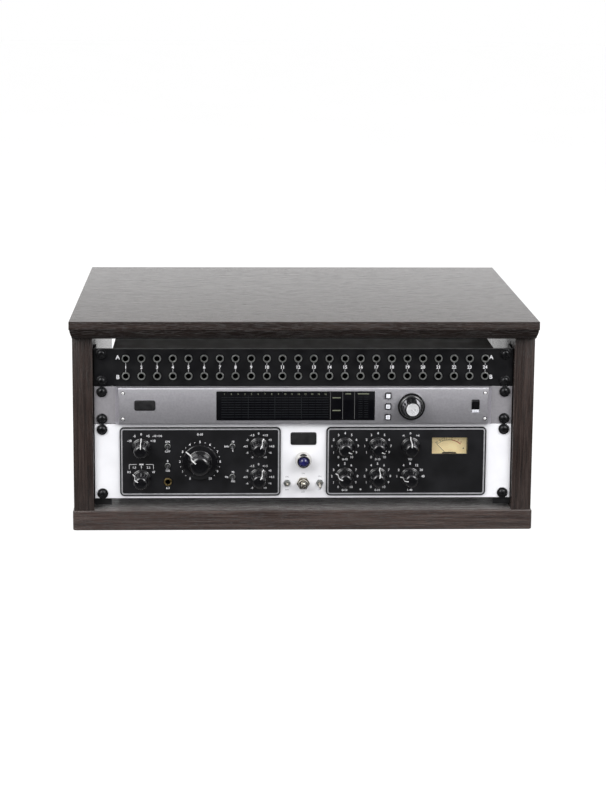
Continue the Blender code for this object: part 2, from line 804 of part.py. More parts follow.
def interface():
    """Panel with its display window, the control board behind it and the chassis."""
    silver = material("silver_paint", (0.42, 0.41, 0.45), 0.35, 0.6)
    glass = material("display_glass", (0.010, 0.010, 0.014), 0.08)
    green = material("circuit_board", (0.020, 0.110, 0.050), 0.45)
    chassis_grey = material("chassis_grey", (0.20, 0.20, 0.21), 0.45, 0.7)
    interface_panel(silver)

    window = box_loop(display_x, interface_z, display_width - 2 * fit_gap, display_height - 2 * fit_gap)
    front = belly + display_recess
    Moulding().body(window, front, front + display_thickness).made("display_window", glass)

    board_front = face + interface_board_depth
    board_half_height = low_chassis_room - board_margin / 2
    features = []
    encoder = round_loop(level_x, interface_z, pot_radius * 0.8, 10)
    bore = bore_loop(level_x, interface_z, shaft_hole_radius, 10)
    encoder_front = board_front - pot_length * 0.75
    features.append(([(encoder, board_front), (encoder, encoder_front), (bore, encoder_front),
                      (bore, board_front - pot_floor)],))
    for height in button_rows:
        switch = box_loop(button_x, interface_z + height, button_size, button_size)
        features.append(([(switch, board_front), (switch, board_front - button_travel)],))
    block = box_loop(rocker_x, interface_z, rocker_width, 2 * rocker_radius)
    features.append(([(block, board_front), (block, board_front - pot_length * 0.75)],))
    post_x = (pocket_half_width + board_half_width) / 2
    for x in (-post_x, post_x):
        for z in (-1, 1):
            post = round_loop(x, interface_z + z * (board_half_height - post_inset), post_radius, 8)
            features.append(([(post, board_front), (post, behind_panel)],))
    outline = box_loop(0, interface_z, 2 * board_half_width, 2 * board_half_height)
    board = Moulding().body(outline, board_front, board_front + board_thickness, features)
    board.made("interface_control_board", green)

    interface_controls()
    chassis_box("interface_chassis", interface_z, low_panel, interface_chassis_depth,
                chassis_grey, True)


def bushing_steps(x, z, front, back, scale=1.0, sides=8):
    """Steps of a toggle's nut and bushing on a face, with its bore right through."""
    nut = round_loop(x, z, nut_radius * scale, sides)
    neck = round_loop(x, z, bushing_radius * scale, sides)
    bore = bore_loop(x, z, ball_radius * scale + running_gap, sides)
    return [(nut, front), (nut, front - nut_height * scale), (neck, front - nut_height * scale),
            (neck, front - bushing_height * scale), (bore, front - bushing_height * scale), (bore, back)]


def toggle_lever(name, x, z, tilt, front, steel, scale=1.0, sides=8):
    """A bat lever with its ball at the bushing's mouth, tilted down by degrees about the ball."""
    ball = [(ball_radius * math.sin(math.radians(a)), -ball_radius * math.cos(math.radians(a)))
            for a in (50, 90, 130)]
    tip_depth = -lever_length
    profile = [(0, tip_depth), (lever_tip * 0.75, tip_depth + lever_tip * 0.25),
               (lever_tip, tip_depth + lever_tip)]
    profile += [(lever_neck, -ball_radius * 1.3)]
    profile += ball
    profile += [(lever_neck, lever_tail * 0.6), (lever_neck, lever_tail), (0, lever_tail)]
    profile = [(radius * scale, depth * scale) for radius, depth in profile]
    mouth = front - bushing_height * scale
    make_object(name, turned_mesh(name, profile, sides), steel, (x, mouth, strip_z + z),
                (math.radians(tilt), 0, 0))


def knob_shape(name, skirt, body, cap, shaft_end):
    """A skirted knob with a raised pointer, about its own axis, pointer upright. The radii
    are those of the skirt's edge, the body's foot and the cap."""
    back = -knob_clear
    top = back - knob_height
    step = back - knob_skirt_height
    profile = [
        (0, top), (cap * 0.88, top), (cap, top + cap * 0.12), (body, step),
        (skirt * 0.94, step + knob_skirt_height * 0.45), (skirt, step + knob_skirt_height * 0.75),
        (skirt, back), (shaft_radius, back), (shaft_radius, shaft_end), (0, shaft_end),
    ]
    knob = make_object(name + "_blank", turned_mesh(name, profile, knob_sides), None)
    fin = [
        (top - pointer_rise, cap * pointer_reach), (top - pointer_rise, cap * 0.95),
        (top + cap * 0.15, cap + pointer_rise), (step - pointer_rise, body + pointer_rise),
        (step + knob_skirt_height * 0.35 - pointer_rise, skirt * 0.96),
        (back - knob_skirt_height * 0.3, skirt * 0.96),
        (back - knob_skirt_height * 0.3, cap * pointer_reach),
    ]
    bm = bmesh.new()
    left = [bm.verts.new((-pointer_width / 2, y, z)) for y, z in fin]
    right = [bm.verts.new((pointer_width / 2, y, z)) for y, z in fin]
    for i in range(len(fin)):
        j = (i + 1) % len(fin)
        bm.faces.new((left[i], left[j], right[j], right[i]))
    bm.faces.new(left)
    bm.faces.new(right)
    pointer = cutter(name + "_pointer", mesh_from(bm, name + "_pointer"))
    combine(knob, pointer, "UNION")
    shape = frozen(knob)
    shape.name = name
    bpy.data.objects.remove(knob)
    bpy.data.objects.remove(pointer)
    return shape


def strip_plates(plate_finish):
    """The two black plates in front of the strip's panel, with what passes through them."""
    shaft_holes = []
    for x, z, _ in knobs.values():
        shaft_holes.append((x, hole(x, strip_z + z, shaft_hole_radius, plate_front, plate_back,
                                    shaft_sides)))
    jack = hole(instrument_place, strip_z + instrument_z, instrument_ring_radius + running_gap,
                plate_front, plate_back, 10)
    left = [steps for x, steps in shaft_holes if x < 0] + [jack]
    left += [bushing_steps(x, strip_z + z, plate_front, plate_back)
             for x, z, _ in plate_toggles.values()]
    right = [steps for x, steps in shaft_holes if x > 0]
    right.append(rectangular_hole(meter_place, strip_z + meter_z, meter_view_width, meter_view_height,
                                  plate_front, plate_back))
    for name, side, through in (("preamp_plate", -1, left), ("compressor_plate", 1, right)):
        outline = rounded_loop(side * plate_x, strip_z, plate_width, plate_height, plate_corner)
        Moulding().body(outline, plate_front, plate_back, through=through).made(name, plate_finish)


def strip_panel(off_white):
    """The pale panel: ear holes, shaft holes, the meter's cut-out and the centre controls."""
    through = ear_holes(strip_z, 2)
    for x, z, _ in knobs.values():
        through.append(hole(x, strip_z + z, shaft_hole_radius, face, panel_back, shaft_sides))
    bushing_bore = ball_radius + running_gap
    for x, z, _ in plate_toggles.values():
        through.append(hole(x, strip_z + z, bushing_bore, face, panel_back, 8))
    for x, z, _ in panel_toggles.values():
        through.append(bushing_steps(x, strip_z + z, face, panel_back, panel_toggle_scale))
    through.append(bushing_steps(0, strip_z + power_toggle_z, face, panel_back, power_toggle_scale, 12))
    through.append(hole(0, strip_z + lamp_z, lamp_body_radius + running_gap, face, panel_back, 12))
    through.append(hole(instrument_place, strip_z + instrument_z, instrument_ring_radius + running_gap,
                        face, panel_back, 10))
    through.append(rectangular_hole(meter_place, meter_case_z, meter_case_width + 2 * fit_gap,
                                    meter_case_height + 2 * fit_gap, face, panel_back))
    outline = box_loop(0, strip_z, panel_width, high_panel)
    Moulding().body(outline, face, panel_back, through=through).made("strip_panel", off_white)


def strip_control_board(green):
    """The board behind the panel, with the potentiometers' cans and the toggles' bodies."""
    front = face + strip_board_depth
    can_front = front - pot_length
    half_height = high_chassis_room - board_margin
    features = []
    for x, z, _ in knobs.values():
        can = round_loop(x, strip_z + z, pot_radius, shaft_sides)
        bore = bore_loop(x, strip_z + z, shaft_hole_radius, shaft_sides)
        features.append(([(can, front), (can, can_front), (bore, can_front), (bore, front - pot_floor)],))
    for x, z, _ in [*plate_toggles.values(), *panel_toggles.values()]:
        block = box_loop(x, strip_z + z, 2 * nut_radius, 2 * nut_radius)
        features.append(([(block, front), (block, behind_panel + 2 * fit_gap)],))
    size = 2 * nut_radius * power_toggle_scale
    block = box_loop(0, strip_z + power_toggle_z, size, size)
    features.append(([(block, front), (block, behind_panel + 2 * fit_gap)],))
    for x in (-1, 1):
        for z in (-1, 1):
            post = round_loop(x * (board_half_width - post_inset),
                              strip_z + z * (half_height - post_inset), post_radius, 8)
            features.append(([(post, front), (post, behind_panel)],))
    back = front + board_thickness
    through = [
        hole(instrument_place, strip_z + instrument_z, instrument_body_radius + running_gap,
             front, back, 10),
        rectangular_hole(meter_place, meter_case_z, meter_case_width + 2 * fit_gap,
                         meter_case_height + 2 * fit_gap, front, back),
    ]
    outline = box_loop(0, strip_z, 2 * board_half_width, 2 * half_height)
    Moulding().body(outline, front, back, features, through=through).made("strip_control_board", green)


def needle_outline(sides=10):
    """Outline of the needle: a round hub with its bar standing on it."""
    half = needle_width / 2
    start = math.asin(half / needle_hub_radius)
    turns = [start + (2 * math.pi - 2 * start) * step / sides for step in range(sides + 1)]
    hub = [(needle_hub_radius * math.sin(turn), needle_hub_radius * math.cos(turn))
           for turn in turns]
    return hub + [(-half, needle_length), (half, needle_length)]


def meter():
    """The level meter: window, case, dial and needle."""
    clear = material("meter_glass", (0.80, 0.78, 0.70), 0.05)
    black = material("meter_black", (0.020, 0.020, 0.020), 0.50)
    cream = material("meter_cream", (0.80, 0.66, 0.38), 0.60)
    outer = box_loop(meter_place, meter_case_z, meter_case_width, meter_case_height)
    Moulding().body(outer, face, face + meter_glass).made("meter_window", clear)
    front = face + meter_glass + fit_gap
    inner_width = meter_case_width - 2 * meter_wall
    inner_height = meter_case_height - 2 * meter_wall
    inner = box_loop(meter_place, meter_case_z, inner_width, inner_height)
    rear = front + meter_case_depth
    cavity = ([(inner, front), (inner, rear - meter_wall)],)
    Moulding().body(outer, front, rear, [cavity]).made("meter_case", black)
    dial_front = face + dial_depth
    card = box_loop(meter_place, meter_case_z, inner_width - 2 * fit_gap, inner_height - 2 * fit_gap)
    Moulding().body(card, dial_front, dial_front + dial_thickness).made("meter_dial", cream)

    needle = Moulding().body(needle_outline(), -fit_gap - needle_thickness, -fit_gap).made(
        "meter_needle", black)
    needle.location = (meter_place, dial_front, meter_case_z - inner_height / 2 + needle_pivot_rise)
    needle.rotation_euler = (0, math.radians(needle_rest), 0)


def strip_centre():
    """The jewel lamp and the instrument jack."""
    chrome = material("chrome", (0.75, 0.75, 0.76), 0.12, 1.0)
    brass = material("brass_jack", (0.62, 0.50, 0.26), 0.30, 1.0)
    front = -fit_gap
    profile = [
        (0, front - lamp_height),
        (lamp_lens_radius * 0.62, front - lamp_height * 0.92),
        (lamp_lens_radius, front - lamp_height * 0.72),
        (lamp_bezel_radius * 0.76, front - lamp_height * 0.66),
        (lamp_bezel_radius, front - lamp_height * 0.15),
        (lamp_bezel_radius, front),
        (lamp_body_radius, front),
        (lamp_body_radius, lamp_reach),
        (0, lamp_reach),
    ]
    make_object("power_lamp", turned_mesh("power_lamp", profile, knob_sides), chrome,
                (0, face, strip_z + lamp_z))
    tip = instrument_tip - face
    shoulder = behind_panel - face
    end = tip + jack_bore_depth + jack_floor
    profile = [
        (0, tip + jack_bore_depth),
        (jack_bore_radius, tip + jack_bore_depth),
        (jack_bore_radius, tip),
        (instrument_ring_radius, tip),
        (instrument_ring_radius, shoulder),
        (instrument_body_radius, shoulder),
        (instrument_body_radius, end),
        (0, end),
    ]
    make_object("instrument_jack", turned_mesh("instrument_jack", profile, 10), brass,
                (instrument_place, face, strip_z + instrument_z))


def strip_chassis():
    """The strip's chassis, and the ring transformer on its floor."""
    grey = material("chassis_grey", (0.20, 0.20, 0.21), 0.45, 0.7)
    chassis_box("strip_chassis", strip_z, high_panel, strip_chassis_depth, grey, True)
    tape = material("transformer_tape", (0.60, 0.42, 0.12), 0.50)
    floor = strip_z - high_chassis_room + fit_gap
    profile = [
        (transformer_bore, 0), (transformer_radius * 0.92, 0),
        (transformer_radius, transformer_height * 0.15), (transformer_radius, transformer_height * 0.85),
        (transformer_radius * 0.92, transformer_height), (transformer_bore, transformer_height),
        (transformer_bore, 0),
    ]
    bm = bmesh.new()
    sides = 12
    rings = [[bm.verts.new((u, v, height)) for u, v in round_loop(0, 0, radius, sides)]
             for radius, height in profile[:-1]]
    for first, second in zip(rings, rings[1:] + rings[:1]):
        for i in range(sides):
            j = (i + 1) % sides
            bm.faces.new((first[i], first[j], second[j], second[i]))
    make_object("power_transformer", mesh_from(bm, "power_transformer"), tape,
                (transformer_x, face + transformer_depth, floor))


def channel_strip():
    """The two unit strip with its plates, knobs, toggles, meter, lamp and inner parts."""
    strip_panel(material("off_white_paint", (0.78, 0.78, 0.80), 0.40))
    strip_plates(material("black_plate", (0.018, 0.018, 0.021), 0.40))
    strip_control_board(material("circuit_board", (0.020, 0.110, 0.050), 0.45))
    black = material("knob_black", (0.015, 0.015, 0.016), 0.25)
    shaft_end = face + strip_board_depth - pot_floor - running_gap - plate_front
    small = knob_shape("small_knob", knob_skirt_radius, knob_body_radius, knob_cap_radius, shaft_end)
    large = knob_shape("large_knob", large_skirt_radius, large_body_radius, large_cap_radius, shaft_end)
    for name, (x, z, angle) in knobs.items():
        shape = large if name in large_knobs else small
        make_object(name, shape, black, (x, plate_front, strip_z + z), (0, math.radians(angle), 0))

    steel = material("lever_steel", (0.60, 0.59, 0.56), 0.25, 1.0)
    for name, (x, z, tilt) in plate_toggles.items():
        toggle_lever(name, x, z, tilt * lever_tilt, plate_front, steel)
    for name, (x, z, tilt) in panel_toggles.items():
        toggle_lever(name, x, z, tilt * lever_tilt, face, steel, panel_toggle_scale)
    toggle_lever("power_toggle", 0, power_toggle_z, -power_lever_tilt, face, steel,
                 power_toggle_scale, 12)
    meter()
    strip_centre()
    strip_chassis()


def main():
    for old in list(bpy.data.objects):
        bpy.data.objects.remove(old)
    cabinet()
    rack_rails()
    rack_screws()
    patchbay()
    interface()
    channel_strip()


main()
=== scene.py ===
# %% [markdown]
# A desktop studio rack: a dark laminate cabinet that carries a patchbay, an audio interface and
# a channel strip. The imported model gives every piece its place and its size. This lesson dresses
# it, cell by cell: first the tools, then the finishes, then the pieces from the cabinet inwards.

# %% The frame
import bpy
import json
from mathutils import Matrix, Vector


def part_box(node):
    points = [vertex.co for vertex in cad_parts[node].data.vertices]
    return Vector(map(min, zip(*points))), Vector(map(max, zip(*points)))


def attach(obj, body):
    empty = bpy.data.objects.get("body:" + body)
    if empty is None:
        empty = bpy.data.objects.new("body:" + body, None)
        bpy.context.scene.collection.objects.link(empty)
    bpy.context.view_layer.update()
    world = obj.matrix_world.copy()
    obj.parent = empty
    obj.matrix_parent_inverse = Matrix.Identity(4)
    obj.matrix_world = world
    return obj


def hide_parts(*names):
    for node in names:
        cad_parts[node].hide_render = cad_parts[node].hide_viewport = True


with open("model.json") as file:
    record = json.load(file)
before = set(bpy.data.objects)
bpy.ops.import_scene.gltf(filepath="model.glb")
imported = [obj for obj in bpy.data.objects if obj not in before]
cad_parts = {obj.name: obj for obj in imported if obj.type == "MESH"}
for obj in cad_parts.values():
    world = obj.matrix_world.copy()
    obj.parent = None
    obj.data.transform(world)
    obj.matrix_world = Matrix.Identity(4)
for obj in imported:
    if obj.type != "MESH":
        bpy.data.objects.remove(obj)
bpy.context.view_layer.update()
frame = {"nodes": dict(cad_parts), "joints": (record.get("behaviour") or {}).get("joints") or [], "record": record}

# %% [markdown]
# Sizes are written in millimetres, as a maker would, and turned into metres by one factor. Places
# come from the frame: a box for each node, and a pivot for each piece that turns. The sockets of
# the patchbay are read from the spaces that the record keeps open for plugs.

# %% Places from the frame
import math

import bmesh
import bpy
from mathutils import Matrix, Vector

mm = 0.001
pivots = {joint["child"]: Vector(joint["pos_m"]) for joint in frame["joints"] if "pos_m" in joint}
spaces = {space["name"]: space["box_m"] for space in frame["record"]["physics"]["openings"]}
low_of = {name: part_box(name)[0] for name in frame["nodes"]}
high_of = {name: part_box(name)[1] for name in frame["nodes"]}
middle_of = {name: (low_of[name] + high_of[name]) / 2 for name in frame["nodes"]}
panel_front = low_of["patchbay_panel"].y
plate_front = pivots["gain_knob"].y
print("panels at", round(panel_front / mm, 1), "mm, plates at", round(plate_front / mm, 1), "mm")

# %% [markdown]
# One helper makes a node of any kind and fills its inputs, for shader trees and geometry trees
# alike. An input that is given another node's socket is linked to it, and any other value is
# set on the socket itself. The small helpers after it put numbers together, run a number from
# one value to another, turn a number into a colour and give a noise.


# %% Node helpers
def node(tree, kind, inputs=None, **settings):
    """One node, with its settings and its inputs, by name or by number."""
    made = tree.nodes.new(kind)
    for setting, value in settings.items():
        setattr(made, setting, value)
    for key, value in (inputs or {}).items():
        if isinstance(value, bpy.types.NodeSocket):
            tree.links.new(value, made.inputs[key])
        else:
            made.inputs[key].default_value = value
    return made


def combined(tree, operation, *values):
    """Numbers put through one operation of a Math node."""
    return node(tree, "ShaderNodeMath", dict(enumerate(values)), operation=operation).outputs[0]


def spread(tree, value, low, high, start=0.0, end=1.0):
    """A number that runs from low to high while the value runs from start to end."""
    return node(tree, "ShaderNodeMapRange", {"Value": value, "From Min": start, "From Max": end,
                                             "To Min": low, "To Max": high}).outputs["Result"]


def ramp(tree, value, *stops):
    """A colour for each value. The stops are (position, colour) pairs, in order."""
    made = node(tree, "ShaderNodeValToRGB", {"Fac": value})
    band = made.color_ramp.elements
    for element, (position, colour) in zip(band, (stops[0], stops[-1])):
        element.position = position
        element.color = (*colour, 1)
    for position, colour in stops[1:-1]:
        band.new(position).color = (*colour, 1)
    return made.outputs["Color"]


def grain(tree, scale, detail=2.0, stretch=(1, 1, 1)):
    """Noise over the piece's own metres. A stretch above 1 makes it finer along that axis."""
    place = node(tree, "ShaderNodeTexCoord").outputs["Object"]
    moved = node(tree, "ShaderNodeMapping", {"Vector": place, "Scale": stretch}).outputs["Vector"]
    return node(tree, "ShaderNodeTexNoise", {"Vector": moved, "Scale": scale,
                                             "Detail": detail}).outputs["Fac"]


print("node helpers ready")

# %% [markdown]
# Every finish starts as Blender's Principled shader, which covers paint, metal, plastic and glass.
# What is the same all over a surface is set on the shader's own sockets. Fine relief comes from a
# bump, which tilts the light without adding faces.


# %% Material helpers
def blank(name, **sockets):
    """A Principled material, its tree and its shader. Sockets are set as plain values."""
    material = bpy.data.materials.new(name)
    material.use_nodes = True
    shader = material.node_tree.nodes["Principled BSDF"]
    for socket, value in sockets.items():
        shader.inputs[socket.replace("_", " ")].default_value = value
    return material, material.node_tree, shader


def roughen(tree, shader, height, distance):
    """Turns a height pattern into a bump on the shader."""
    bump = node(tree, "ShaderNodeBump", {"Height": height, "Distance": distance})
    tree.links.new(bump.outputs["Normal"], shader.inputs["Normal"])


print("material helpers ready")

# %% [markdown]
# The cabinet is chipboard in a dark wenge laminate. Its print has long soft streaks with short
# dark pores between them, and its film is pressed with the same pores, so light breaks on them.
# A stretched noise gives each of the layers. The grain runs along X on the top and bottom boards and upwards on
# the sides, so the function takes the axis. Each board gets its own copy of the laminate, scaled lighter or
# darker: painted light and shade for how the light falls on it. The top board's copy is painted a little darker
# and the side boards' a little lighter. The plinth's is painted much paler, as painted light, and has a sheen. The
# strip under the top board's band is painted darker and duller, as painted shade under the edge.


# %% Laminate
def laminate(name, axis, painted_light_scale=1.0, film=0.35, sheen=0.0):
    """Wenge laminate with its grain along one axis. A scale above 1 paints light in, below 1 paints shade."""
    material, tree, shader = blank(name, Specular_IOR_Level=0.5, Coat_Weight=film,
                                   Coat_Roughness=0.22, Sheen_Weight=sheen, Sheen_Roughness=0.35)

    def lengthwise(across):
        """A stretch that makes a noise finer across the grain than along it."""
        return tuple(1 if i == axis else across for i in range(3))

    streaks = grain(tree, 9, 4, lengthwise(34))
    fibres = grain(tree, 30, 3, lengthwise(50))
    pores = grain(tree, 70, 2, lengthwise(26))
    dashes = grain(tree, 40, 3, lengthwise(4.5))
    tones = [(0.0, (0.015, 0.0095, 0.0085)), (0.5, (0.028, 0.019, 0.0165)),
             (1.0, (0.050, 0.036, 0.032))]
    tones = [(place, tuple(painted_light_scale * level for level in tone)) for place, tone in tones]
    blend = combined(tree, "ADD", streaks, fibres)
    wood = ramp(tree, spread(tree, blend, 0, 1, 0.72, 1.28), *tones)
    depth = spread(tree, pores, 1.0, 0.0, 0.56, 0.66)
    shade = node(tree, "ShaderNodeMix", {"Factor": depth, 6: (0.010, 0.007, 0.006, 1), 7: wood},
                 data_type="RGBA").outputs[2]
    tree.links.new(shade, shader.inputs["Base Color"])
    tree.links.new(spread(tree, depth, 0.55, 0.27), shader.inputs["Roughness"])
    fine = combined(tree, "ADD", depth, fibres)
    roughen(tree, shader, combined(tree, "MULTIPLY_ADD", dashes, 3.0, fine), 0.16 * mm)
    return material


# The scales paint light and shade into each board's copy of the laminate.
laminate_along = laminate("laminate_along", 0, painted_light_scale=0.85, film=0.55)
laminate_upright = laminate("laminate_upright", 2, painted_light_scale=1.1)
laminate_plinth = laminate("laminate_plinth", 0, painted_light_scale=1.8, sheen=0.48)
laminate_edging = laminate("laminate_edging", 0, painted_light_scale=0.45, film=0.1)
print("laminate in two directions, for the plinth and for the edging")

# %% [markdown]
# Most other finishes are one colour that isn't quite even: paint with a faint orange peel, zinc,
# moulded plastic, sheet steel. They share one function. A noise drifts between two colours and
# two roughness values, and a finer noise gives the bump. Stretching the noise turns paint into
# brushed metal.


# %% Mottled finishes
def mottled(name, dark, light, scale, roughness, bump=0.0, fine=900, stretch=(1, 1, 1), **sockets):
    """A finish that drifts between two colours and two roughness values, with a fine bump."""
    material, tree, shader = blank(name, **sockets)
    drift = grain(tree, scale, 3, stretch)
    tree.links.new(ramp(tree, drift, (0.35, dark), (0.65, light)), shader.inputs["Base Color"])
    tree.links.new(spread(tree, drift, *roughness, 0.35, 0.65), shader.inputs["Roughness"])
    if bump:
        roughen(tree, shader, grain(tree, fine, 2, stretch), bump)
    return material


powder_black = mottled("powder_black", (0.0035, 0.0035, 0.0045), (0.006, 0.006, 0.007), 60,
                       (0.42, 0.55), 0.05 * mm, 2200, Specular_IOR_Level=0.25)
plate_black = mottled("plate_black", (0.008, 0.008, 0.009), (0.012, 0.012, 0.014), 40, (0.36, 0.46),
                      0.02 * mm, 1500, Specular_IOR_Level=0.3)
edge_black = mottled("edge_black", (0.012, 0.012, 0.014), (0.020, 0.020, 0.022), 90, (0.3, 0.4),
                     0.02 * mm, 1500, Specular_IOR_Level=0.4)
black_zinc = mottled("black_zinc", (0.010, 0.010, 0.011), (0.024, 0.024, 0.026), 300, (0.18, 0.30),
                     0.02 * mm, 2500, Metallic=0.55)
rail_steel = mottled("rail_steel", (0.012, 0.012, 0.013), (0.030, 0.030, 0.032), 80, (0.38, 0.5),
                     0.03 * mm, 1800, Metallic=0.5)
chassis_steel = mottled("chassis_steel", (0.16, 0.16, 0.165), (0.24, 0.24, 0.25), 25, (0.38, 0.5),
                        0.02 * mm, 1200, (1, 1, 14), Metallic=0.75)
chassis_paint = mottled("chassis_paint", (0.080, 0.070, 0.064), (0.120, 0.106, 0.098), 70,
                        (0.34, 0.46), 0.03 * mm, 1800, Metallic=0.4)
# A pale grey: the level dial's grey line, and a painted highlight on the patchbay's upper edge.
bare_edge = mottled("bare_edge", (0.16, 0.16, 0.16), (0.24, 0.24, 0.24), 300, (0.3, 0.45),
                    Metallic=0.5)
pale_paint = mottled("pale_paint", (0.76, 0.76, 0.79), (0.82, 0.82, 0.85), 30, (0.32, 0.42),
                     0.02 * mm, 1300)
silver_paint = mottled("silver_paint", (0.86, 0.845, 0.90), (0.92, 0.905, 0.96), 500, (0.43, 0.47),
                       0.008 * mm, 2600, Metallic=1.0)
ear_silver = mottled("ear_silver", (0.39, 0.38, 0.405), (0.435, 0.42, 0.445), 500, (0.46, 0.52),
                     0.015 * mm, 2600, Metallic=0.6)
print("paints and steels mixed")

# %% [markdown]
# The small parts have the sharper finishes: glossy knobs, nickel, brass and the lamp's lens. The
# knobs have a clear coat over their black, which gives them one soft and one sharp reflection.
# White print on the plates is a finish of its own, a little uneven as screen print is.

# %% Finishes of the small parts
knob_gloss = mottled("knob_gloss", (0.003, 0.003, 0.004), (0.005, 0.005, 0.006), 120, (0.09, 0.14),
                     0.003 * mm, 1500, Specular_IOR_Level=0.55, Coat_Weight=0.8,
                     Coat_Roughness=0.06)
soft_black = mottled("soft_black", (0.008, 0.008, 0.009), (0.014, 0.014, 0.015), 150, (0.45, 0.6),
                     0.03 * mm, 2000, Specular_IOR_Level=0.35)
bore_black = mottled("bore_black", (0.002, 0.002, 0.002), (0.005, 0.005, 0.005), 200, (0.6, 0.8),
                     Specular_IOR_Level=0.2)
jack_nickel = mottled("jack_nickel", (0.24, 0.25, 0.24), (0.38, 0.39, 0.38), 400, (0.28, 0.42),
                      0.01 * mm, 1800, Metallic=0.75)
warm_nickel = mottled("warm_nickel", (0.56, 0.52, 0.44), (0.70, 0.67, 0.60), 350, (0.16, 0.28),
                      0.008 * mm, 1800, Metallic=1.0)
dark_nickel = mottled("dark_nickel", (0.17, 0.17, 0.18), (0.26, 0.26, 0.27), 350, (0.28, 0.42),
                      0.01 * mm, 1800, Metallic=0.8)
lamp_chrome = mottled("lamp_chrome", (0.66, 0.64, 0.60), (0.76, 0.75, 0.72), 250, (0.07, 0.15),
                      Metallic=1.0)
brass = mottled("brass", (0.60, 0.43, 0.17), (0.74, 0.56, 0.26), 350, (0.20, 0.34), 0.01 * mm,
                1800, Metallic=1.0)
screw_bright = mottled("screw_bright", (0.70, 0.70, 0.70), (0.82, 0.82, 0.82), 350, (0.2, 0.3),
                       Metallic=0.3)
print_white = mottled("print_white", (0.60, 0.60, 0.62), (0.70, 0.70, 0.72), 600, (0.45, 0.6),
                      0.01 * mm, 2500)
print_grey = mottled("print_grey", (0.30, 0.30, 0.31), (0.38, 0.38, 0.39), 600, (0.45, 0.6))
print_dark = mottled("print_dark", (0.22, 0.22, 0.24), (0.28, 0.28, 0.30), 600, (0.45, 0.6))
pointer_white = mottled("pointer_white", (0.56, 0.56, 0.56), (0.66, 0.66, 0.66), 600, (0.35, 0.45))
pinstripe_silver = mottled("pinstripe_silver", (0.40, 0.40, 0.42), (0.50, 0.50, 0.52), 250,
                           (0.30, 0.42), 0.01 * mm, 1800, Metallic=0.4)
lens_blue = mottled("lens_blue", (0.006, 0.006, 0.040), (0.016, 0.016, 0.105), 350, (0.04, 0.10),
                    Specular_IOR_Level=0.8)
display_black = mottled("display_black", (0.002, 0.002, 0.003), (0.004, 0.004, 0.005), 40,
                        (0.05, 0.10), Specular_IOR_Level=0.5)
transformer_tape = mottled("transformer_tape", (0.50, 0.33, 0.08), (0.66, 0.46, 0.14), 60,
                           (0.4, 0.55))
board_green = mottled("board_green", (0.010, 0.070, 0.030), (0.020, 0.110, 0.050), 200,
                      (0.35, 0.5))
print("small parts' finishes mixed")

# %% [markdown]
# The lit buttons, the meter's card and the display's marks glow a little by themselves. Lamps
# behind them would cost render time and light nothing else, so the shader keeps the moulding's
# colour and adds a weak emission in the same shade. The meter's print goes with its card.


# %% Lit finishes
def lit(name, colour, strength, scale=200, roughness=0.4):
    """A moulding or print that glows a little by itself."""
    material, tree, shader = blank(name, Roughness=roughness, Emission_Strength=strength)
    shade = ramp(tree, grain(tree, scale), (0.3, tuple(0.9 * c for c in colour)), (0.7, colour))
    tree.links.new(shade, shader.inputs["Base Color"])
    tree.links.new(shade, shader.inputs["Emission Color"])
    return material


button_lit = lit("button_lit", (0.76, 0.77, 0.82), 0.10)
meter_cream = lit("meter_cream", (0.80, 0.66, 0.38), 0.30, 60, 0.6)
display_dim = lit("display_dim", (0.010, 0.012, 0.014), 0.1)
display_line = lit("display_line", (0.07, 0.07, 0.07), 0.1)
display_mark = lit("display_mark", (0.12, 0.13, 0.09), 0.3)
scale_black = mottled("scale_black", (0.05, 0.04, 0.03), (0.08, 0.06, 0.04), 300, (0.5, 0.6))
scale_red = mottled("scale_red", (0.50, 0.10, 0.05), (0.60, 0.14, 0.07), 300, (0.5, 0.6))
print("lit finishes mixed")

# %% [markdown]
# The meter's pane is thin and clear. A solid pane with the index of glass would bend the dial
# behind it, so the index is kept low here, and a faint noise stands for the dust on it.

# %% Glass
window_glass, glass_tree, glass_shader = blank("window_glass", Roughness=0.04, IOR=1.1,
                                               Transmission_Weight=1.0, Specular_IOR_Level=0.5)
dust = ramp(glass_tree, grain(glass_tree, 120), (0.3, (0.95, 0.94, 0.92)), (0.7, (1.0, 1.0, 1.0)))
glass_tree.links.new(dust, glass_shader.inputs["Base Color"])
print("glass ready")

# %% [markdown]
# Pieces are built in mesh code from outlines. An outline is a list of (x, z) pairs on the front
# of the rack, and a depth puts it along Y. Round corners and circles are plain trigonometry, and
# one function moves an outline outwards or inwards, for eased edges and rims.


# %% Outlines
def circle(x, z, radius, sides=32, turn=0.0):
    """A circle's outline, clockwise from its top."""
    return [(x + radius * math.sin(2 * math.pi * i / sides + turn),
             z + radius * math.cos(2 * math.pi * i / sides + turn)) for i in range(sides)]


def rectangle(x, z, width, height, corner=0.0, steps=5):
    """A rectangle's outline, with round corners where a radius is given."""
    corners = ((1, 1), (-1, 1), (-1, -1), (1, -1))
    if not corner:
        return [(x + sx * width / 2, z + sz * height / 2) for sx, sz in corners]
    points = []
    for quarter_turns, (sx, sz) in enumerate(corners):
        for step in range(steps + 1):
            angle = math.pi / 2 * (quarter_turns + step / steps)
            points.append((x + sx * (width / 2 - corner) + corner * math.cos(angle),
                           z + sz * (height / 2 - corner) + corner * math.sin(angle)))
    return points


def at(outline, y):
    """An outline as points at a depth."""
    return [(x, y, z) for x, z in outline]


def grown(outline, amount):
    """A convex outline moved outwards, square to its sides."""
    points = [Vector(point) for point in outline]
    centre = sum(points, Vector((0, 0))) / len(points)
    moved = []
    for before, here, after in zip(points[-1:] + points[:-1], points, points[1:] + points[:1]):
        side = (here - before).normalized()
        square = Vector((side.y, -side.x))
        if square.dot(here - centre) < 0:
            square.negate()
        out = (side - (after - here).normalized()).normalized()
        if out.dot(here - centre) < 0 or out.length == 0:
            out = square if out.length == 0 else -out
        moved.append(here + out * amount / max(out.dot(square), 0.3))
    return moved


print("outlines ready")

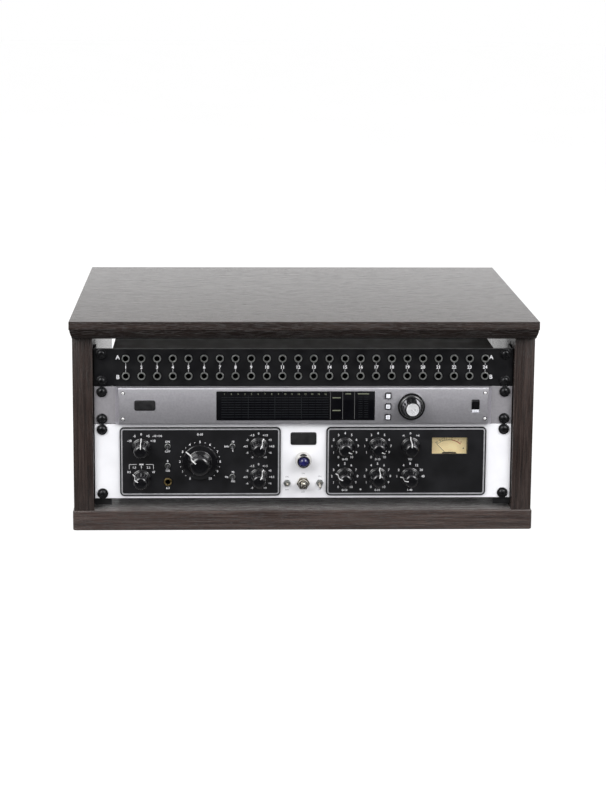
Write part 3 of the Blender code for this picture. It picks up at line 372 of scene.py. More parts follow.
# %% [markdown]
# Nearly everything on a rack is a stack of rings: a turned knob, a rounded plate, a board. Walls
# join one ring to the next, and a cap closes each end. A turned body is a stack of circles from a
# profile, as on a lathe. A block is a cube with bevelled edges.


# %% Bodies
def stack(bm, rings, finish=0, joined=False):
    """Walls through rings of points. The ends are capped, or joined for a closed tube."""
    loops = [[bm.verts.new(point) for point in ring] for ring in rings]
    pairs = list(zip(loops, loops[1:] + loops[:1] if joined else loops[1:]))
    faces = []
    for lower, upper in pairs:
        for i in range(len(lower)):
            j = (i + 1) % len(lower)
            faces.append(bm.faces.new((lower[i], lower[j], upper[j], upper[i])))
    if not joined:
        faces += [bm.faces.new(loops[0]), bm.faces.new(loops[-1])]
    for face in faces:
        face.material_index = finish
    return faces


def turned(bm, centre, profile, sides=48, finish=0, joined=False):
    """A body turned about an axis along Y. The profile holds (radius, depth) pairs."""
    rings = [at(circle(centre.x, centre.z, radius, sides), centre.y + depth)
             for radius, depth in profile]
    return stack(bm, rings, finish, joined)


def block(bm, low, high, ease, steps=2):
    """A box between two corners, with eased edges."""
    made = bmesh.ops.create_cube(bm, size=1)["verts"]
    size = Vector(high) - Vector(low)
    for vertex in made:
        vertex.co = Vector(low) + Vector(((vertex.co[i] + 0.5) * size[i] for i in range(3)))
    edges = list({edge for vertex in made for edge in vertex.link_edges})
    bmesh.ops.bevel(bm, geom=edges, offset=ease, segments=steps, profile=0.5, affect="EDGES")


print("bodies ready")

# %% [markdown]
# A rack panel is a plate with many holes. Its walls go round the outline and round each hole, and
# a triangle fill spans the front and the back between them, which a Boolean would do less neatly.
# The front edges are eased, outwards at the holes and inwards at the outline.


# %% Plates
def plate(bm, outline, holes, front, back, ease=0.3 * mm):
    """A flat plate with holes from face to face, and eased edges in front."""
    edges = {"front": [], "back": []}
    for loop, out in [(outline, -ease)] + [(hole, ease) for hole in holes]:
        rings = [[bm.verts.new(point) for point in ring] for ring in
                 (at(grown(loop, out), front), at(loop, front + ease), at(loop, back))]
        for first, second in zip(rings, rings[1:]):
            for i in range(len(loop)):
                j = (i + 1) % len(loop)
                bm.faces.new((first[i], first[j], second[j], second[i]))
        for side, ring in (("front", rings[0]), ("back", rings[-1])):
            edges[side] += [bm.edges.get((ring[i - 1], ring[i])) for i in range(len(ring))]
    for ring_edges in edges.values():
        bmesh.ops.triangle_fill(bm, edges=ring_edges, use_beauty=True)


print("plates ready")

# %% [markdown]
# A finished mesh becomes a named piece: its faces point outwards, flat faces stay flat while
# rounded ones are shaded smooth, and it rides on a body. A piece that stands for nodes of the
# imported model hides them.

# %% Pieces
crease = 32                 # degrees between two faces from which their edge stays sharp


def piece(name, bm, finishes, body="rack", stands_for=(), sharp=crease):
    """Turns a finished bmesh into a named piece that rides on a body."""
    bmesh.ops.recalc_face_normals(bm, faces=bm.faces[:])
    mesh = bpy.data.meshes.new(name)
    bm.to_mesh(mesh)
    bm.free()
    mesh.shade_smooth()
    mesh.set_sharp_from_angle(angle=math.radians(sharp))
    for finish in finishes:
        mesh.materials.append(finish)
    return settle(name, mesh, body, stands_for)


def settle(name, mesh, body="rack", stands_for=()):
    """Puts a finished mesh in the scene, on its body and in place of its nodes."""
    made = bpy.data.objects.new(name, mesh)
    bpy.context.scene.collection.objects.link(made)
    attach(made, body)
    if stands_for:
        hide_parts(*stands_for)
    print(f"{name}: {len(mesh.polygons)} faces")
    return made


# %% [markdown]
# Print on a panel is raised by a few hundredths of a millimetre, so it is made as real characters
# from Blender's own font, filled and extruded. Each word is turned into a mesh once, at a height
# of 1, and copied wherever it is needed. The characters are plain numbers and signs.

# %% Characters
characters = {}
ink = 0.04 * mm
capital_share = 0.70        # of the font's size


def character_mesh(text, weight):
    """A word as a mesh, one unit high, lying on its back."""
    if (text, weight) not in characters:
        curve = bpy.data.curves.new("characters", "FONT")
        curve.body = text
        curve.align_x = "CENTER"
        curve.align_y = "CENTER"
        curve.size = 1 / capital_share
        curve.offset = weight
        curve.extrude = 0.5
        curve.resolution_u = 3
        holder = bpy.data.objects.new("characters", curve)
        mesh = bpy.data.meshes.new_from_object(holder)
        mesh.materials.clear()
        bpy.data.objects.remove(holder)
        characters[text, weight] = mesh
    return characters[text, weight]


print("characters ready")

# %% [markdown]
# A word is stood up, scaled to its height and sunk a little into the face that it is printed on,
# so that no gap shows under it. A printed line is a thin bar made the same way.


# %% Words and lines
def printed(bm, text, x, z, height, level, finish=0, weight=0.03, ink_height=ink):
    """Adds a word to a mesh, standing on a front face at a depth."""
    start = len(bm.verts)
    face_start = len(bm.faces)
    bm.from_mesh(character_mesh(text, weight))
    bm.verts.ensure_lookup_table()
    bm.faces.ensure_lookup_table()
    upright = Matrix.Rotation(math.pi / 2, 4, "X")
    scaled = Matrix.Diagonal((height, height, ink_height * 1.5, 1))
    place = Matrix.Translation((x, level - ink_height / 2, z)) @ upright @ scaled
    for vertex in bm.verts[start:]:
        vertex.co = place @ vertex.co
    for face in bm.faces[face_start:]:
        face.material_index = finish


def stroke(bm, x1, z1, x2, z2, width, level, finish=0, ink_height=ink):
    """A printed line from one point to another."""
    along = Vector((x2 - x1, z2 - z1)).normalized()
    side = Vector((-along.y, along.x)) * width / 2
    corners = [(x1 + side.x, z1 + side.y), (x2 + side.x, z2 + side.y),
               (x2 - side.x, z2 - side.y), (x1 - side.x, z1 - side.y)]
    stack(bm, [at(corners, level - ink_height), at(corners, level + ink_height / 2)], finish)


print("print helpers ready")

# %% [markdown]
# What repeats is made by geometry nodes: screws, jack rings, dots round a dial. A tree has a
# named input for each of its sizes, so one tree serves several pieces. Its parts are given their
# materials one by one, and are moved along the shape's own axis, which is Z until they are placed.


# %% Geometry trees
def geometry_tree(name, sizes):
    """A tree with points going in, a geometry coming out, and a named input for each size."""
    tree = bpy.data.node_groups.new(name, "GeometryNodeTree")
    tree.interface.new_socket("Points", in_out="INPUT", socket_type="NodeSocketGeometry")
    for size, value in sizes.items():
        kind = "NodeSocketInt" if isinstance(value, int) else "NodeSocketFloat"
        tree.interface.new_socket(size, in_out="INPUT", socket_type=kind).default_value = value
    tree.interface.new_socket("Geometry", in_out="OUTPUT", socket_type="NodeSocketGeometry")
    return tree, node(tree, "NodeGroupInput").outputs


def finished(tree, geometry, material):
    """Gives a part of the shape its material."""
    return node(tree, "GeometryNodeSetMaterial", {"Geometry": geometry,
                                                  "Material": material}).outputs["Geometry"]


def shifted(tree, mesh, z, stretch=(1, 1, 1)):
    """A mesh moved along the shape's own axis. z is a number or a socket."""
    offset = node(tree, "ShaderNodeCombineXYZ", {"Z": z}).outputs["Vector"]
    return node(tree, "GeometryNodeTransform", {"Geometry": mesh, "Translation": offset,
                                                "Scale": stretch}).outputs["Geometry"]


def together(tree, *parts):
    """Parts joined into one geometry."""
    joined = node(tree, "GeometryNodeJoinGeometry")
    for part in parts:
        tree.links.new(part, joined.inputs["Geometry"])
    return joined.outputs["Geometry"]


print("geometry trees ready")

# %% [markdown]
# A tree ends by putting its shape on every point, turned to face the front, and by making the
# copies real, because instances are lost in an export. The last helper runs a tree on a list of
# points. It sets the sizes by their sockets' identifiers and returns a plain mesh, so that
# nothing live is left on the piece.


# %% Copies on points
def spin_seed(tree, seed):
    """A random turn about the shape's own axis, the same on every run."""
    turn = node(tree, "FunctionNodeRandomValue", {"Seed": seed}, data_type="FLOAT").outputs[1]
    return combined(tree, "MULTIPLY", turn, 2 * math.pi)


def spread_on_points(tree, points, shape, seed=None):
    """Ends a tree: the shape on every point, facing the front, made real."""
    facing = node(tree, "ShaderNodeCombineXYZ", {"X": math.pi / 2}).outputs["Vector"]
    inputs = {"Points": points, "Instance": shape, "Rotation": facing}
    copies = node(tree, "GeometryNodeInstanceOnPoints", inputs).outputs["Instances"]
    if seed is not None:
        spin = node(tree, "ShaderNodeCombineXYZ", {"Z": spin_seed(tree, seed)}).outputs["Vector"]
        inputs = {"Instances": copies, "Rotation": spin, "Local Space": True}
        copies = node(tree, "GeometryNodeRotateInstances", inputs).outputs["Instances"]
    real = node(tree, "GeometryNodeRealizeInstances", {"Geometry": copies}).outputs["Geometry"]
    node(tree, "NodeGroupOutput", {"Geometry": real})
    return tree


def grow(name, tree, points, **sizes):
    """Runs a tree on points and returns the plain mesh."""
    seeds = bpy.data.meshes.new(name)
    seeds.from_pydata([tuple(point) for point in points], [], [])
    holder = bpy.data.objects.new(name, seeds)
    modifier = holder.modifiers.new(name, "NODES")
    modifier.node_group = tree
    for item in tree.interface.items_tree:
        key = item.name.replace(" ", "_").lower()
        if item.in_out == "INPUT" and key in sizes:
            modifier[item.identifier] = sizes[key]
    bpy.context.scene.collection.objects.link(holder)
    graph = bpy.context.evaluated_depsgraph_get()
    mesh = bpy.data.meshes.new_from_object(holder.evaluated_get(graph))
    bpy.data.objects.remove(holder)
    mesh.name = name
    mesh.shade_smooth()
    mesh.set_sharp_from_angle(angle=math.radians(crease))
    return mesh


print("geometry helpers ready")

# %% [markdown]
# The camera stands where the photograph's did: a long lens, above the rack and a little to its
# left. Its picture is shifted, because the photograph's middle isn't where the lens points. Three
# angles give its direction, and the two axes of its picture follow from them.

# %% Camera
camera_place = Vector((-0.0914, -2.3706, 0.6507))
camera_tilt = math.radians(9.99)
camera_pan = math.radians(1.87)
camera_roll = math.radians(0.35)
ahead = Vector((math.sin(camera_pan) * math.cos(camera_tilt),
                math.cos(camera_pan) * math.cos(camera_tilt), -math.sin(camera_tilt)))
level_right = ahead.cross(Vector((0, 0, 1))).normalized()
level_up = level_right.cross(ahead)
right = level_right * math.cos(camera_roll) + level_up * math.sin(camera_roll)
up = level_up * math.cos(camera_roll) - level_right * math.sin(camera_roll)
lens = bpy.data.cameras.new("camera")
lens.sensor_fit = "VERTICAL"
lens.sensor_height = 36
lens.lens = 87.34
lens.shift_x = 0.02
lens.shift_y = -0.12
lens.clip_end = 50
camera = bpy.data.objects.new("camera", lens)
axes = Matrix((right, up, -ahead)).transposed().to_4x4()
camera.matrix_world = Matrix.Translation(camera_place) @ axes
bpy.context.scene.collection.objects.link(camera)
bpy.context.scene.camera = camera
bpy.context.scene.view_settings.view_transform = "Standard"
print("camera at", [round(value, 3) for value in camera_place])

# %% [markdown]
# The room lights the rack evenly from all round, as a large pale studio does. What gloss shows of
# it is another matter: a white backdrop hangs behind the rack, the room fades overhead, and
# straight in front of the rack it is dark. So the background's strength depends on the kind of
# ray. Gloss sees the backdrop and the dark, the camera sees plain white, straight or through
# glass, and every other ray sees the even room.

# %% World
room_level = 0.70
backdrop_level = 1.0
front_gloss = 0.10          # what gloss sees of the dark room straight in front
world = bpy.data.worlds.new("studio")
bpy.context.scene.world = world
world.use_nodes = True
sky = world.node_tree
sky.nodes.clear()
ray = node(sky, "ShaderNodeLightPath").outputs
direction = node(sky, "ShaderNodeSeparateXYZ",
                 {"Vector": node(sky, "ShaderNodeTexCoord").outputs["Generated"]}).outputs
in_front = spread(sky, direction["Y"], front_gloss, room_level, -0.93, -0.75)
behind = spread(sky, direction["Y"], 0.0, backdrop_level, -0.1, 0.4)
below_ceiling = spread(sky, direction["Z"], 1.0, 0.0, 0.36, 0.78)
gloss_room = combined(sky, "MAXIMUM", in_front, combined(sky, "MULTIPLY", behind, below_ceiling))
clear = combined(sky, "MAXIMUM", ray["Is Camera Ray"], ray["Is Transmission Ray"])
plain_room = combined(sky, "MAXIMUM", clear, room_level)
strength = node(sky, "ShaderNodeMix", {"Factor": ray["Is Glossy Ray"], 2: plain_room,
                                       3: gloss_room}).outputs[0]
background = node(sky, "ShaderNodeBackground", {"Color": (1, 1, 1, 1), "Strength": strength})
node(sky, "ShaderNodeOutputWorld", {"Surface": background.outputs["Background"]})
print("room level", room_level, "and in front, for gloss,", front_gloss)

# %% [markdown]
# A soft box stands at each side of the camera, above it, and a wide one hangs overhead. Area
# lamps this large give soft shadows and broad highlights on the knobs. Gloss doesn't show the
# overhead one, because it would lie on the top board's film as a white patch.


# %% Lamps
def soft_box(name, place, target, size, power, glossy=True):
    """A square studio lamp that faces a point. Gloss can be kept from showing it."""
    light = bpy.data.lights.new(name, "AREA")
    light.shape = "RECTANGLE"
    light.size, light.size_y = size
    light.energy = power
    lamp = bpy.data.objects.new(name, light)
    lamp.visible_glossy = glossy
    lamp.location = place
    lamp.rotation_euler = (Vector(target) - Vector(place)).to_track_quat("-Z", "Y").to_euler()
    bpy.context.scene.collection.objects.link(lamp)
    print(name, power, "W")


panels_middle = (0, -0.2, 0.12)
soft_box("left_box", (-1.5, -1.7, 1.5), panels_middle, size=(1.6, 1.6), power=41)
soft_box("right_box", (1.5, -1.7, 1.5), panels_middle, size=(1.3, 1.3), power=34)
soft_box("overhead_box", (0.0, -0.6, 2.2), (0, -0.3, 0.1), size=(2.0, 1.6), power=22, glossy=False)

# %% [markdown]
# The floor is a pale sweep far larger than the rack. It keeps the rack's soft shadow, and a
# share of plain white that only the camera sees lets it run into the backdrop without a line.
# Gloss sees a floor that is dark in front of the rack and pale behind it, as it sees the room.

# %% Floor
floor_material, floor_tree, floor_shader = blank("floor_sweep", Roughness=0.8,
                                                 Specular_IOR_Level=0.1)
camera_white = 0.76
floor_shade = ramp(floor_tree, grain(floor_tree, 3), (0.3, (0.29, 0.29, 0.29)),
                   (0.7, (0.31, 0.31, 0.31)))
floor_tree.links.new(floor_shade, floor_shader.inputs["Base Color"])
floor_ray = node(floor_tree, "ShaderNodeLightPath").outputs
seen_share = combined(floor_tree, "MULTIPLY", floor_ray["Is Camera Ray"], camera_white)
glow = node(floor_tree, "ShaderNodeEmission", {"Color": (1, 1, 1, 1), "Strength": seen_share})
floor_lit = node(floor_tree, "ShaderNodeAddShader", {0: floor_shader.outputs[0], 1: glow.outputs[0]})
floor_place = node(floor_tree, "ShaderNodeSeparateXYZ",
                   {"Vector": node(floor_tree, "ShaderNodeTexCoord").outputs["Object"]}).outputs
gloss_level = spread(floor_tree, floor_place["Y"], 0.03, 0.95, -0.35, 0.30)
in_gloss = node(floor_tree, "ShaderNodeEmission", {"Color": (1, 1, 1, 1), "Strength": gloss_level})
floor_sum = node(floor_tree, "ShaderNodeMixShader", {0: floor_ray["Is Glossy Ray"],
                                                     1: floor_lit.outputs[0],
                                                     2: in_gloss.outputs[0]})
floor_out = next(made for made in floor_tree.nodes if made.type == "OUTPUT_MATERIAL")
floor_tree.links.new(floor_sum.outputs[0], floor_out.inputs["Surface"])
bm = bmesh.new()
bmesh.ops.create_circle(bm, cap_ends=True, segments=64, radius=14)
floor_mesh = bpy.data.meshes.new("floor")
bm.to_mesh(floor_mesh)
bm.free()
floor_mesh.materials.append(floor_material)
floor = bpy.data.objects.new("floor", floor_mesh)
bpy.context.scene.collection.objects.link(floor)
print("floor laid")

# %% [markdown]
# The boards are stacks of rings seen from above, square at the back, where they meet a wall. An
# edge treatment is a list of insets and heights, and each ring is drawn in by its inset at the
# front. At the sides it is drawn in by 3 mm at most, because the side boards stand close under
# the edge there and a gap would show.


# %% Board outlines
def board_ring(low, high, inset, z, corner=0.0):
    """A board's outline at a height, drawn in at the front and, less far, at the sides."""
    side_inset = min(inset, 3.0 * mm)
    points = [(high.x - side_inset, high.y), (low.x + side_inset, high.y)]
    for side, x in ((-1, low.x + side_inset), (1, high.x - side_inset)):
        steps = 6 if corner else 0
        turns = [math.pi / 2 * step / steps for step in range(steps + 1)] if corner else [0.0]
        arc = [(x - side * corner * (1 - math.cos(turn)),
                low.y + inset + corner * (1 - math.sin(turn))) for turn in turns]
        points += arc if side < 0 else arc[::-1]
    return [(x, y, z) for x, y in points]


def quarter(radius, steps):
    """Insets and drops of a rounding, from its upright side to its flat one."""
    turns = [math.pi / 2 * step / steps for step in range(steps + 1)]
    return [(radius * (1 - math.cos(turn)), radius * math.sin(turn)) for turn in turns]


print("board outlines ready")

# %% [markdown]
# The top board has a flat band at its front and side edges and a large rounding under it, with a fine step where
# the laminate sheet ends. The rounding is flatter than a quarter circle, so it is a list of points. Everything
# below the band gets a darker copy of the laminate: painted shade for the shadow under the edge.

# %% Top board
low, high = low_of["top_board"], high_of["top_board"]
band = 9.5 * mm
sheet_step = 0.7 * mm
top_ease = 0.6 * mm
fall = high.z - low.z - band - sheet_step
shares = [(0.0, 0.0), (0.04, 0.22), (0.10, 0.46), (0.19, 0.68), (0.32, 0.85), (0.49, 0.95), (0.68, 1.0)]
profile = [(inset, high.z - top_ease + drop) for inset, drop in quarter(top_ease, 3)[::-1]]
profile += [(0.0, high.z - band), (sheet_step, high.z - band - 0.3 * mm)]
profile += [(sheet_step + across * fall, high.z - band - sheet_step - down * fall)
            for across, down in shares]
bm = bmesh.new()
# Faces below the band get the darker copy: painted shade under the edge.
for face in stack(bm, [board_ring(low, high, inset, z) for inset, z in profile]):
    face.material_index = int(face.calc_center_median().z < high.z - band)
piece("cabinet_top", bm, [laminate_along, laminate_edging],
      stands_for=["top_board"])

# %% [markdown]
# The plinth is the bottom board. It has eased edges and round front corners. The side boards are
# plain boards with eased edges, which stand on it and carry the top.

# %% Plinth and side boards
low, high = low_of["bottom_board"], high_of["bottom_board"]
plinth_ease = 1.5 * mm
rounding = quarter(plinth_ease, 4)
profile = [(inset, high.z - plinth_ease + drop) for inset, drop in rounding[::-1]]
profile += [(inset, low.z + plinth_ease - drop) for inset, drop in rounding]
bm = bmesh.new()
stack(bm, [board_ring(low, high, inset, z, 3 * mm) for inset, z in profile])
# The plinth gets the much paler copy of the laminate: painted light.
piece("cabinet_plinth", bm, [laminate_plinth], stands_for=["bottom_board"])

for side in ("left", "right"):
    name = f"{side}_side_board"
    low, high = low_of[name], high_of[name]
    bottom, top = high_of["bottom_board"].z, low_of["top_board"].z
    bm = bmesh.new()
    block(bm, (low.x, low.y, bottom), (high.x, high.y, top), 0.6 * mm)
    piece(f"cabinet_side_{side}", bm, [laminate_upright], stands_for=[name])

# %% [markdown]
# A rack screw is a domed black head on a cup washer, with a socket for a hex key. One tree makes
# it from primitives with a Boolean for the socket, and turns each screw by a random angle, as
# screws end up. The same tree makes the small silver screws.


# %% Screw tree
def screw_tree(name, finish, seed):
    """A tree for screws: washer, rim and domed head with a socket."""
    tree, sizes = geometry_tree(name, {"Head Radius": 4.6 * mm, "Head Height": 2.6 * mm,
                                       "Washer Radius": 6.2 * mm, "Washer Height": 1.2 * mm,
                                       "Socket Radius": 1.7 * mm})
    half = combined(tree, "DIVIDE", sizes["Washer Height"], 2.0)
    washer = node(tree, "GeometryNodeMeshCylinder", {"Vertices": 40, "Radius": sizes["Washer Radius"],
                                                     "Depth": sizes["Washer Height"]}).outputs["Mesh"]
    washer = shifted(tree, washer, half)
    rim = node(tree, "GeometryNodeMeshCone", {"Vertices": 40, "Radius Bottom": sizes["Washer Radius"],
                                              "Radius Top": sizes["Head Radius"],
                                              "Depth": half}).outputs["Mesh"]
    rim = shifted(tree, rim, sizes["Washer Height"])
    ball = node(tree, "GeometryNodeMeshUVSphere", {"Segments": 40, "Rings": 20, "Radius": 1.0})
    stretch = node(tree, "ShaderNodeCombineXYZ", {"X": sizes["Head Radius"], "Y": sizes["Head Radius"],
                                                  "Z": sizes["Head Height"]}).outputs["Vector"]
    dome = shifted(tree, ball.outputs["Mesh"], sizes["Washer Height"], stretch)
    socket = node(tree, "GeometryNodeMeshCylinder", {"Vertices": 6, "Radius": sizes["Socket Radius"],
                                                     "Depth": sizes["Head Height"]}).outputs["Mesh"]
    socket = shifted(tree, socket, combined(tree, "ADD", sizes["Washer Height"], sizes["Head Height"]))
    cut = node(tree, "GeometryNodeMeshBoolean", {"Mesh 1": dome, "Mesh 2": socket},
               operation="DIFFERENCE").outputs["Mesh"]
    shape = finished(tree, together(tree, cut, rim, washer), finish)
    return spread_on_points(tree, sizes["Points"], shape, seed)


rack_screw_tree = screw_tree("rack_screw", black_zinc, 7)
screw_nodes = sorted(name for name in frame["nodes"] if "_screw_" in name)
screw_points = [(middle_of[name].x, panel_front - 0.2 * mm, middle_of[name].z)
                for name in screw_nodes]
settle("rack_screws", grow("rack_screws", rack_screw_tree, screw_points),
       stands_for=screw_nodes)

# %% [markdown]
# The patchbay's panel is a steel plate with 48 round holes. The sockets of the upper row come from the record, and
# the lower row mirrors them about the panel's middle. The faces along its upper edge get a pale grey finish: a
# painted highlight where light falls on the top of the panel.

# %% Patchbay panel
patch_middle = middle_of["patchbay_panel"]
upper_row = [(sum(corner[0] for corner in spaces[f"socket_a_{i}"]) / 2,
              sum(corner[2] for corner in spaces[f"socket_a_{i}"]) / 2) for i in range(1, 25)]
lower_row = [(x, 2 * patch_middle.z - z) for x, z in upper_row]
jack_outer = 4.5 * mm
jack_bore = 3.15 * mm
ear_hole = 3.4 * mm


def panel_outline(name):
    """A panel's outline, from its node's box."""
    low, high = low_of[name], high_of[name]
    return rectangle((low.x + high.x) / 2, (low.z + high.z) / 2, high.x - low.x, high.z - low.z)


def ear_holes(prefix):
    """The holes for a panel's rack screws."""
    return [circle(middle_of[name].x, middle_of[name].z, ear_hole, 24)
            for name in screw_nodes if name.startswith(prefix)]


bm = bmesh.new()
jack_holes = [circle(x, z, jack_outer + 0.2 * mm, 24) for x, z in upper_row + lower_row]
plate(bm, panel_outline("patchbay_panel"), jack_holes + ear_holes("patchbay"), panel_front,
      high_of["patchbay_panel"].y)
# Faces along the upper edge get the pale grey: painted highlight.
edge_highlight_from = high_of["patchbay_panel"].z - 0.4 * mm
for face in bm.faces:
    if face.calc_center_median().z > edge_highlight_from:
        face.material_index = 1
piece("patchbay_front", bm, [powder_black, bare_edge],
      stands_for=["patchbay_panel"])

# %% [markdown]
# Each jack shows a grey threaded ring with a black bore. The tree sweeps a small rectangle round
# a circle for the ring, lines the bore with a thin dark tube and closes it with a floor.


# %% Jack ring tree
def ring_tree(name, finish):
    """A tree for jacks: a swept ring, a lining in its bore and a floor."""
    tree, sizes = geometry_tree(name, {"Outer Radius": jack_outer, "Bore Radius": jack_bore,
                                       "Height": 4 * mm, "Bore Depth": 24 * mm})

    def radii(operation):
        """The ring's two radii, added or subtracted."""
        return combined(tree, operation, sizes["Outer Radius"], sizes["Bore Radius"])

    def swept(radius, width, height, fillet):
        """A small rectangle with round corners, swept round a circle."""
        path = node(tree, "GeometryNodeCurvePrimitiveCircle", {"Resolution": 28, "Radius": radius})
        section = node(tree, "GeometryNodeCurvePrimitiveQuadrilateral", {"Width": width,
                                                                         "Height": height})
        section = node(tree, "GeometryNodeFilletCurve",
                       {"Curve": section.outputs["Curve"], "Radius": fillet, "Count": 2}, mode="POLY")
        return node(tree, "GeometryNodeCurveToMesh",
                    {"Curve": path.outputs["Curve"],
                     "Profile Curve": section.outputs["Curve"]}).outputs["Mesh"]

    mean = combined(tree, "MULTIPLY", radii("ADD"), 0.5)
    ring = finished(tree, swept(mean, radii("SUBTRACT"), sizes["Height"], 0.35 * mm), finish)
    drop = combined(tree, "MULTIPLY", sizes["Bore Depth"], -0.5)
    lining = swept(sizes["Bore Radius"], 0.3 * mm, sizes["Bore Depth"], 0.05 * mm)
    lining = finished(tree, shifted(tree, lining, drop), bore_black)
    sunk = combined(tree, "MULTIPLY", sizes["Bore Depth"], -1.0)
    end = node(tree, "GeometryNodeMeshCylinder", {"Vertices": 28, "Radius": sizes["Bore Radius"],
                                                  "Depth": 0.6 * mm}).outputs["Mesh"]
    end = finished(tree, shifted(tree, end, sunk), bore_black)
    return spread_on_points(tree, sizes["Points"], together(tree, end, lining, ring))


jack_tree = ring_tree("patchbay_jack", jack_nickel)
jack_low = low_of["jack_bank"]
jack_points = [(x, jack_low.y + 2 * mm, z) for x, z in upper_row + lower_row]
settle("patchbay_jacks", grow("patchbay_jacks", jack_tree, jack_points),
       stands_for=["jack_bank"])

# %% [markdown]
# Behind the panel the jacks share one long black moulding, inside the patchbay's metal box.

# %% Jack block
bank_low, bank_high = jack_low.copy(), high_of["jack_bank"].copy()
bank_low.y = high_of["patchbay_panel"].y + 24.5 * mm
bm = bmesh.new()
block(bm, bank_low, bank_high, 0.5 * mm)
piece("patchbay_jack_block", bm, [soft_black])

# %% [markdown]
# Between the rows stands each channel's number, tied to its two jacks by a thin line. The rows
# carry the letters A and B at both ends, as rows on any patchbay do.

# %% Patchbay print
number_height = 3.6 * mm
line_width = 0.6 * mm
line_start = number_height / 2 + 0.5 * mm
line_end = upper_row[0][1] - patch_middle.z - jack_outer - 0.2 * mm
letter_height = 4.8 * mm
letter_rise = 11.6 * mm
bm = bmesh.new()
for i, (x, _) in enumerate(upper_row):
    printed(bm, str(i + 1), x, patch_middle.z, number_height, panel_front, weight=0.04)
    for side in (-1, 1):
        stroke(bm, x, patch_middle.z + side * line_start, x, patch_middle.z + side * line_end,
               line_width, panel_front, 1)
for letter, side in (("A", 1), ("B", -1)):
    for x in (-213.9 * mm, 216.0 * mm):
        printed(bm, letter, x, patch_middle.z + side * letter_rise, letter_height, panel_front)
piece("patchbay_print", bm, [print_white, print_grey])

# %% [markdown]
# The audio interface has a raised middle between two flat ears. Its face bends back evenly from
# foot to top, with a tight shoulder at its upper edge and a round lip at its foot. A formula
# gives how far it stands out at each height, and the display and the corner screws use it too.

# %% The interface's bend
ear_width = 24.0 * mm
shoulder = 1.2 * mm
lip = 1.5 * mm
foot_lean = math.radians(-3.6)  # the face leans forwards from its foot
crown_lean = math.radians(7.6)  # and backwards towards its top
side_slope = 0.85
inter_low, inter_high = low_of["interface_panel"], high_of["interface_panel"]
inter_z = middle_of["interface_panel"].z
proud = panel_front - inter_low.y
half_height = (inter_high.z - inter_low.z) / 2
face_half = inter_high.x - ear_width
upright_share = -foot_lean / (crown_lean - foot_lean)


def fallen_back(share):
    """How far the face lies behind its foot at a share of its height. Its lean grows evenly."""
    return 2 * half_height * (foot_lean * share + (crown_lean - foot_lean) * share ** 2 / 2)


def rise(height):
    """How far the face stands out at a height above the panel's middle."""
    share = (height + half_height) / (2 * half_height)
    curved = proud + fallen_back(upright_share) - fallen_back(share)
    if height > half_height - shoulder:
        part = (height - half_height + shoulder) / shoulder
        return max(curved * math.sqrt(max(1 - part * part, 0)), 0.6 * mm)
    if height < lip - half_height:
        part = (lip - half_height - height) / lip
        return curved - lip * (1 - math.sqrt(max(1 - part * part, 0)))
    return curved


print("upright at", round(upright_share, 2), "of its height")

# %% [markdown]
# The face is a loft: the same six points at a run of heights, moved forwards by the formula. The
# heights lie close together at the lip and the shoulder, where it bends most.


# %% Levels of the face
def face_section(height, depth):
    """One level of the raised face, from its left side round to its right."""
    out = rise(height)
    edge = face_half - side_slope * out
    z = inter_z + height
    return [(-face_half, depth, z), (-face_half, panel_front, z), (-edge, panel_front - out, z),
            (edge, panel_front - out, z), (face_half, panel_front, z), (face_half, depth, z)]


seam = 0.2 * mm
lip_steps, face_steps, shoulder_steps = 5, 20, 8
heights = [-half_height + seam + lip * (1 - math.cos(math.pi / 2 * i / lip_steps))
           for i in range(lip_steps + 1)]
heights += [heights[lip_steps] + (2 * half_height - lip - shoulder) * i / face_steps
            for i in range(1, face_steps)]
heights += [half_height - seam - (shoulder - seam) * (1 - math.sin(math.pi / 2 * i / shoulder_steps))
            for i in range(shoulder_steps + 1)]
print("face stands out", [round(rise(height) / mm, 1) for height in heights[::6]], "mm")

# %% [markdown]
# The display, three buttons, the power switch and the level knob's shaft pass through the face.
# All openings are prisms, cut at once by a Boolean modifier, because a triangle fill can't follow
# a bent face. The result is made plain.


# %% Cutting tools
def cutters(shapes, front, back):
    """Separate prisms as one helper object for a Boolean."""
    made = bmesh.new()
    for outline in shapes:
        stack(made, [at(outline, front), at(outline, back)])
    bmesh.ops.recalc_face_normals(made, faces=made.faces[:])
    mesh = bpy.data.meshes.new("cutters")
    made.to_mesh(mesh)
    made.free()
    tool = bpy.data.objects.new("cutters", mesh)
    bpy.context.scene.collection.objects.link(tool)
    return tool


def carved(bm, tool):
    """The bmesh after a tool has been cut from it."""
    bmesh.ops.recalc_face_normals(bm, faces=bm.faces[:])
    mesh = bpy.data.meshes.new("carved")
    bm.to_mesh(mesh)
    bm.free()
    holder = bpy.data.objects.new("carved", mesh)
    bpy.context.scene.collection.objects.link(holder)
    change = holder.modifiers.new("cut", "BOOLEAN")
    change.operation = "DIFFERENCE"
    change.object = tool
    graph = bpy.context.evaluated_depsgraph_get()
    result = bmesh.new()
    result.from_mesh(bpy.data.meshes.new_from_object(holder.evaluated_get(graph)))
    for done in (holder, tool):
        bpy.data.objects.remove(done)
    return result


print("cutting tools ready")

# %% [markdown]
# Each opening is an outline about the middle of the node that passes through it, a little larger
# than the node, with round corners.

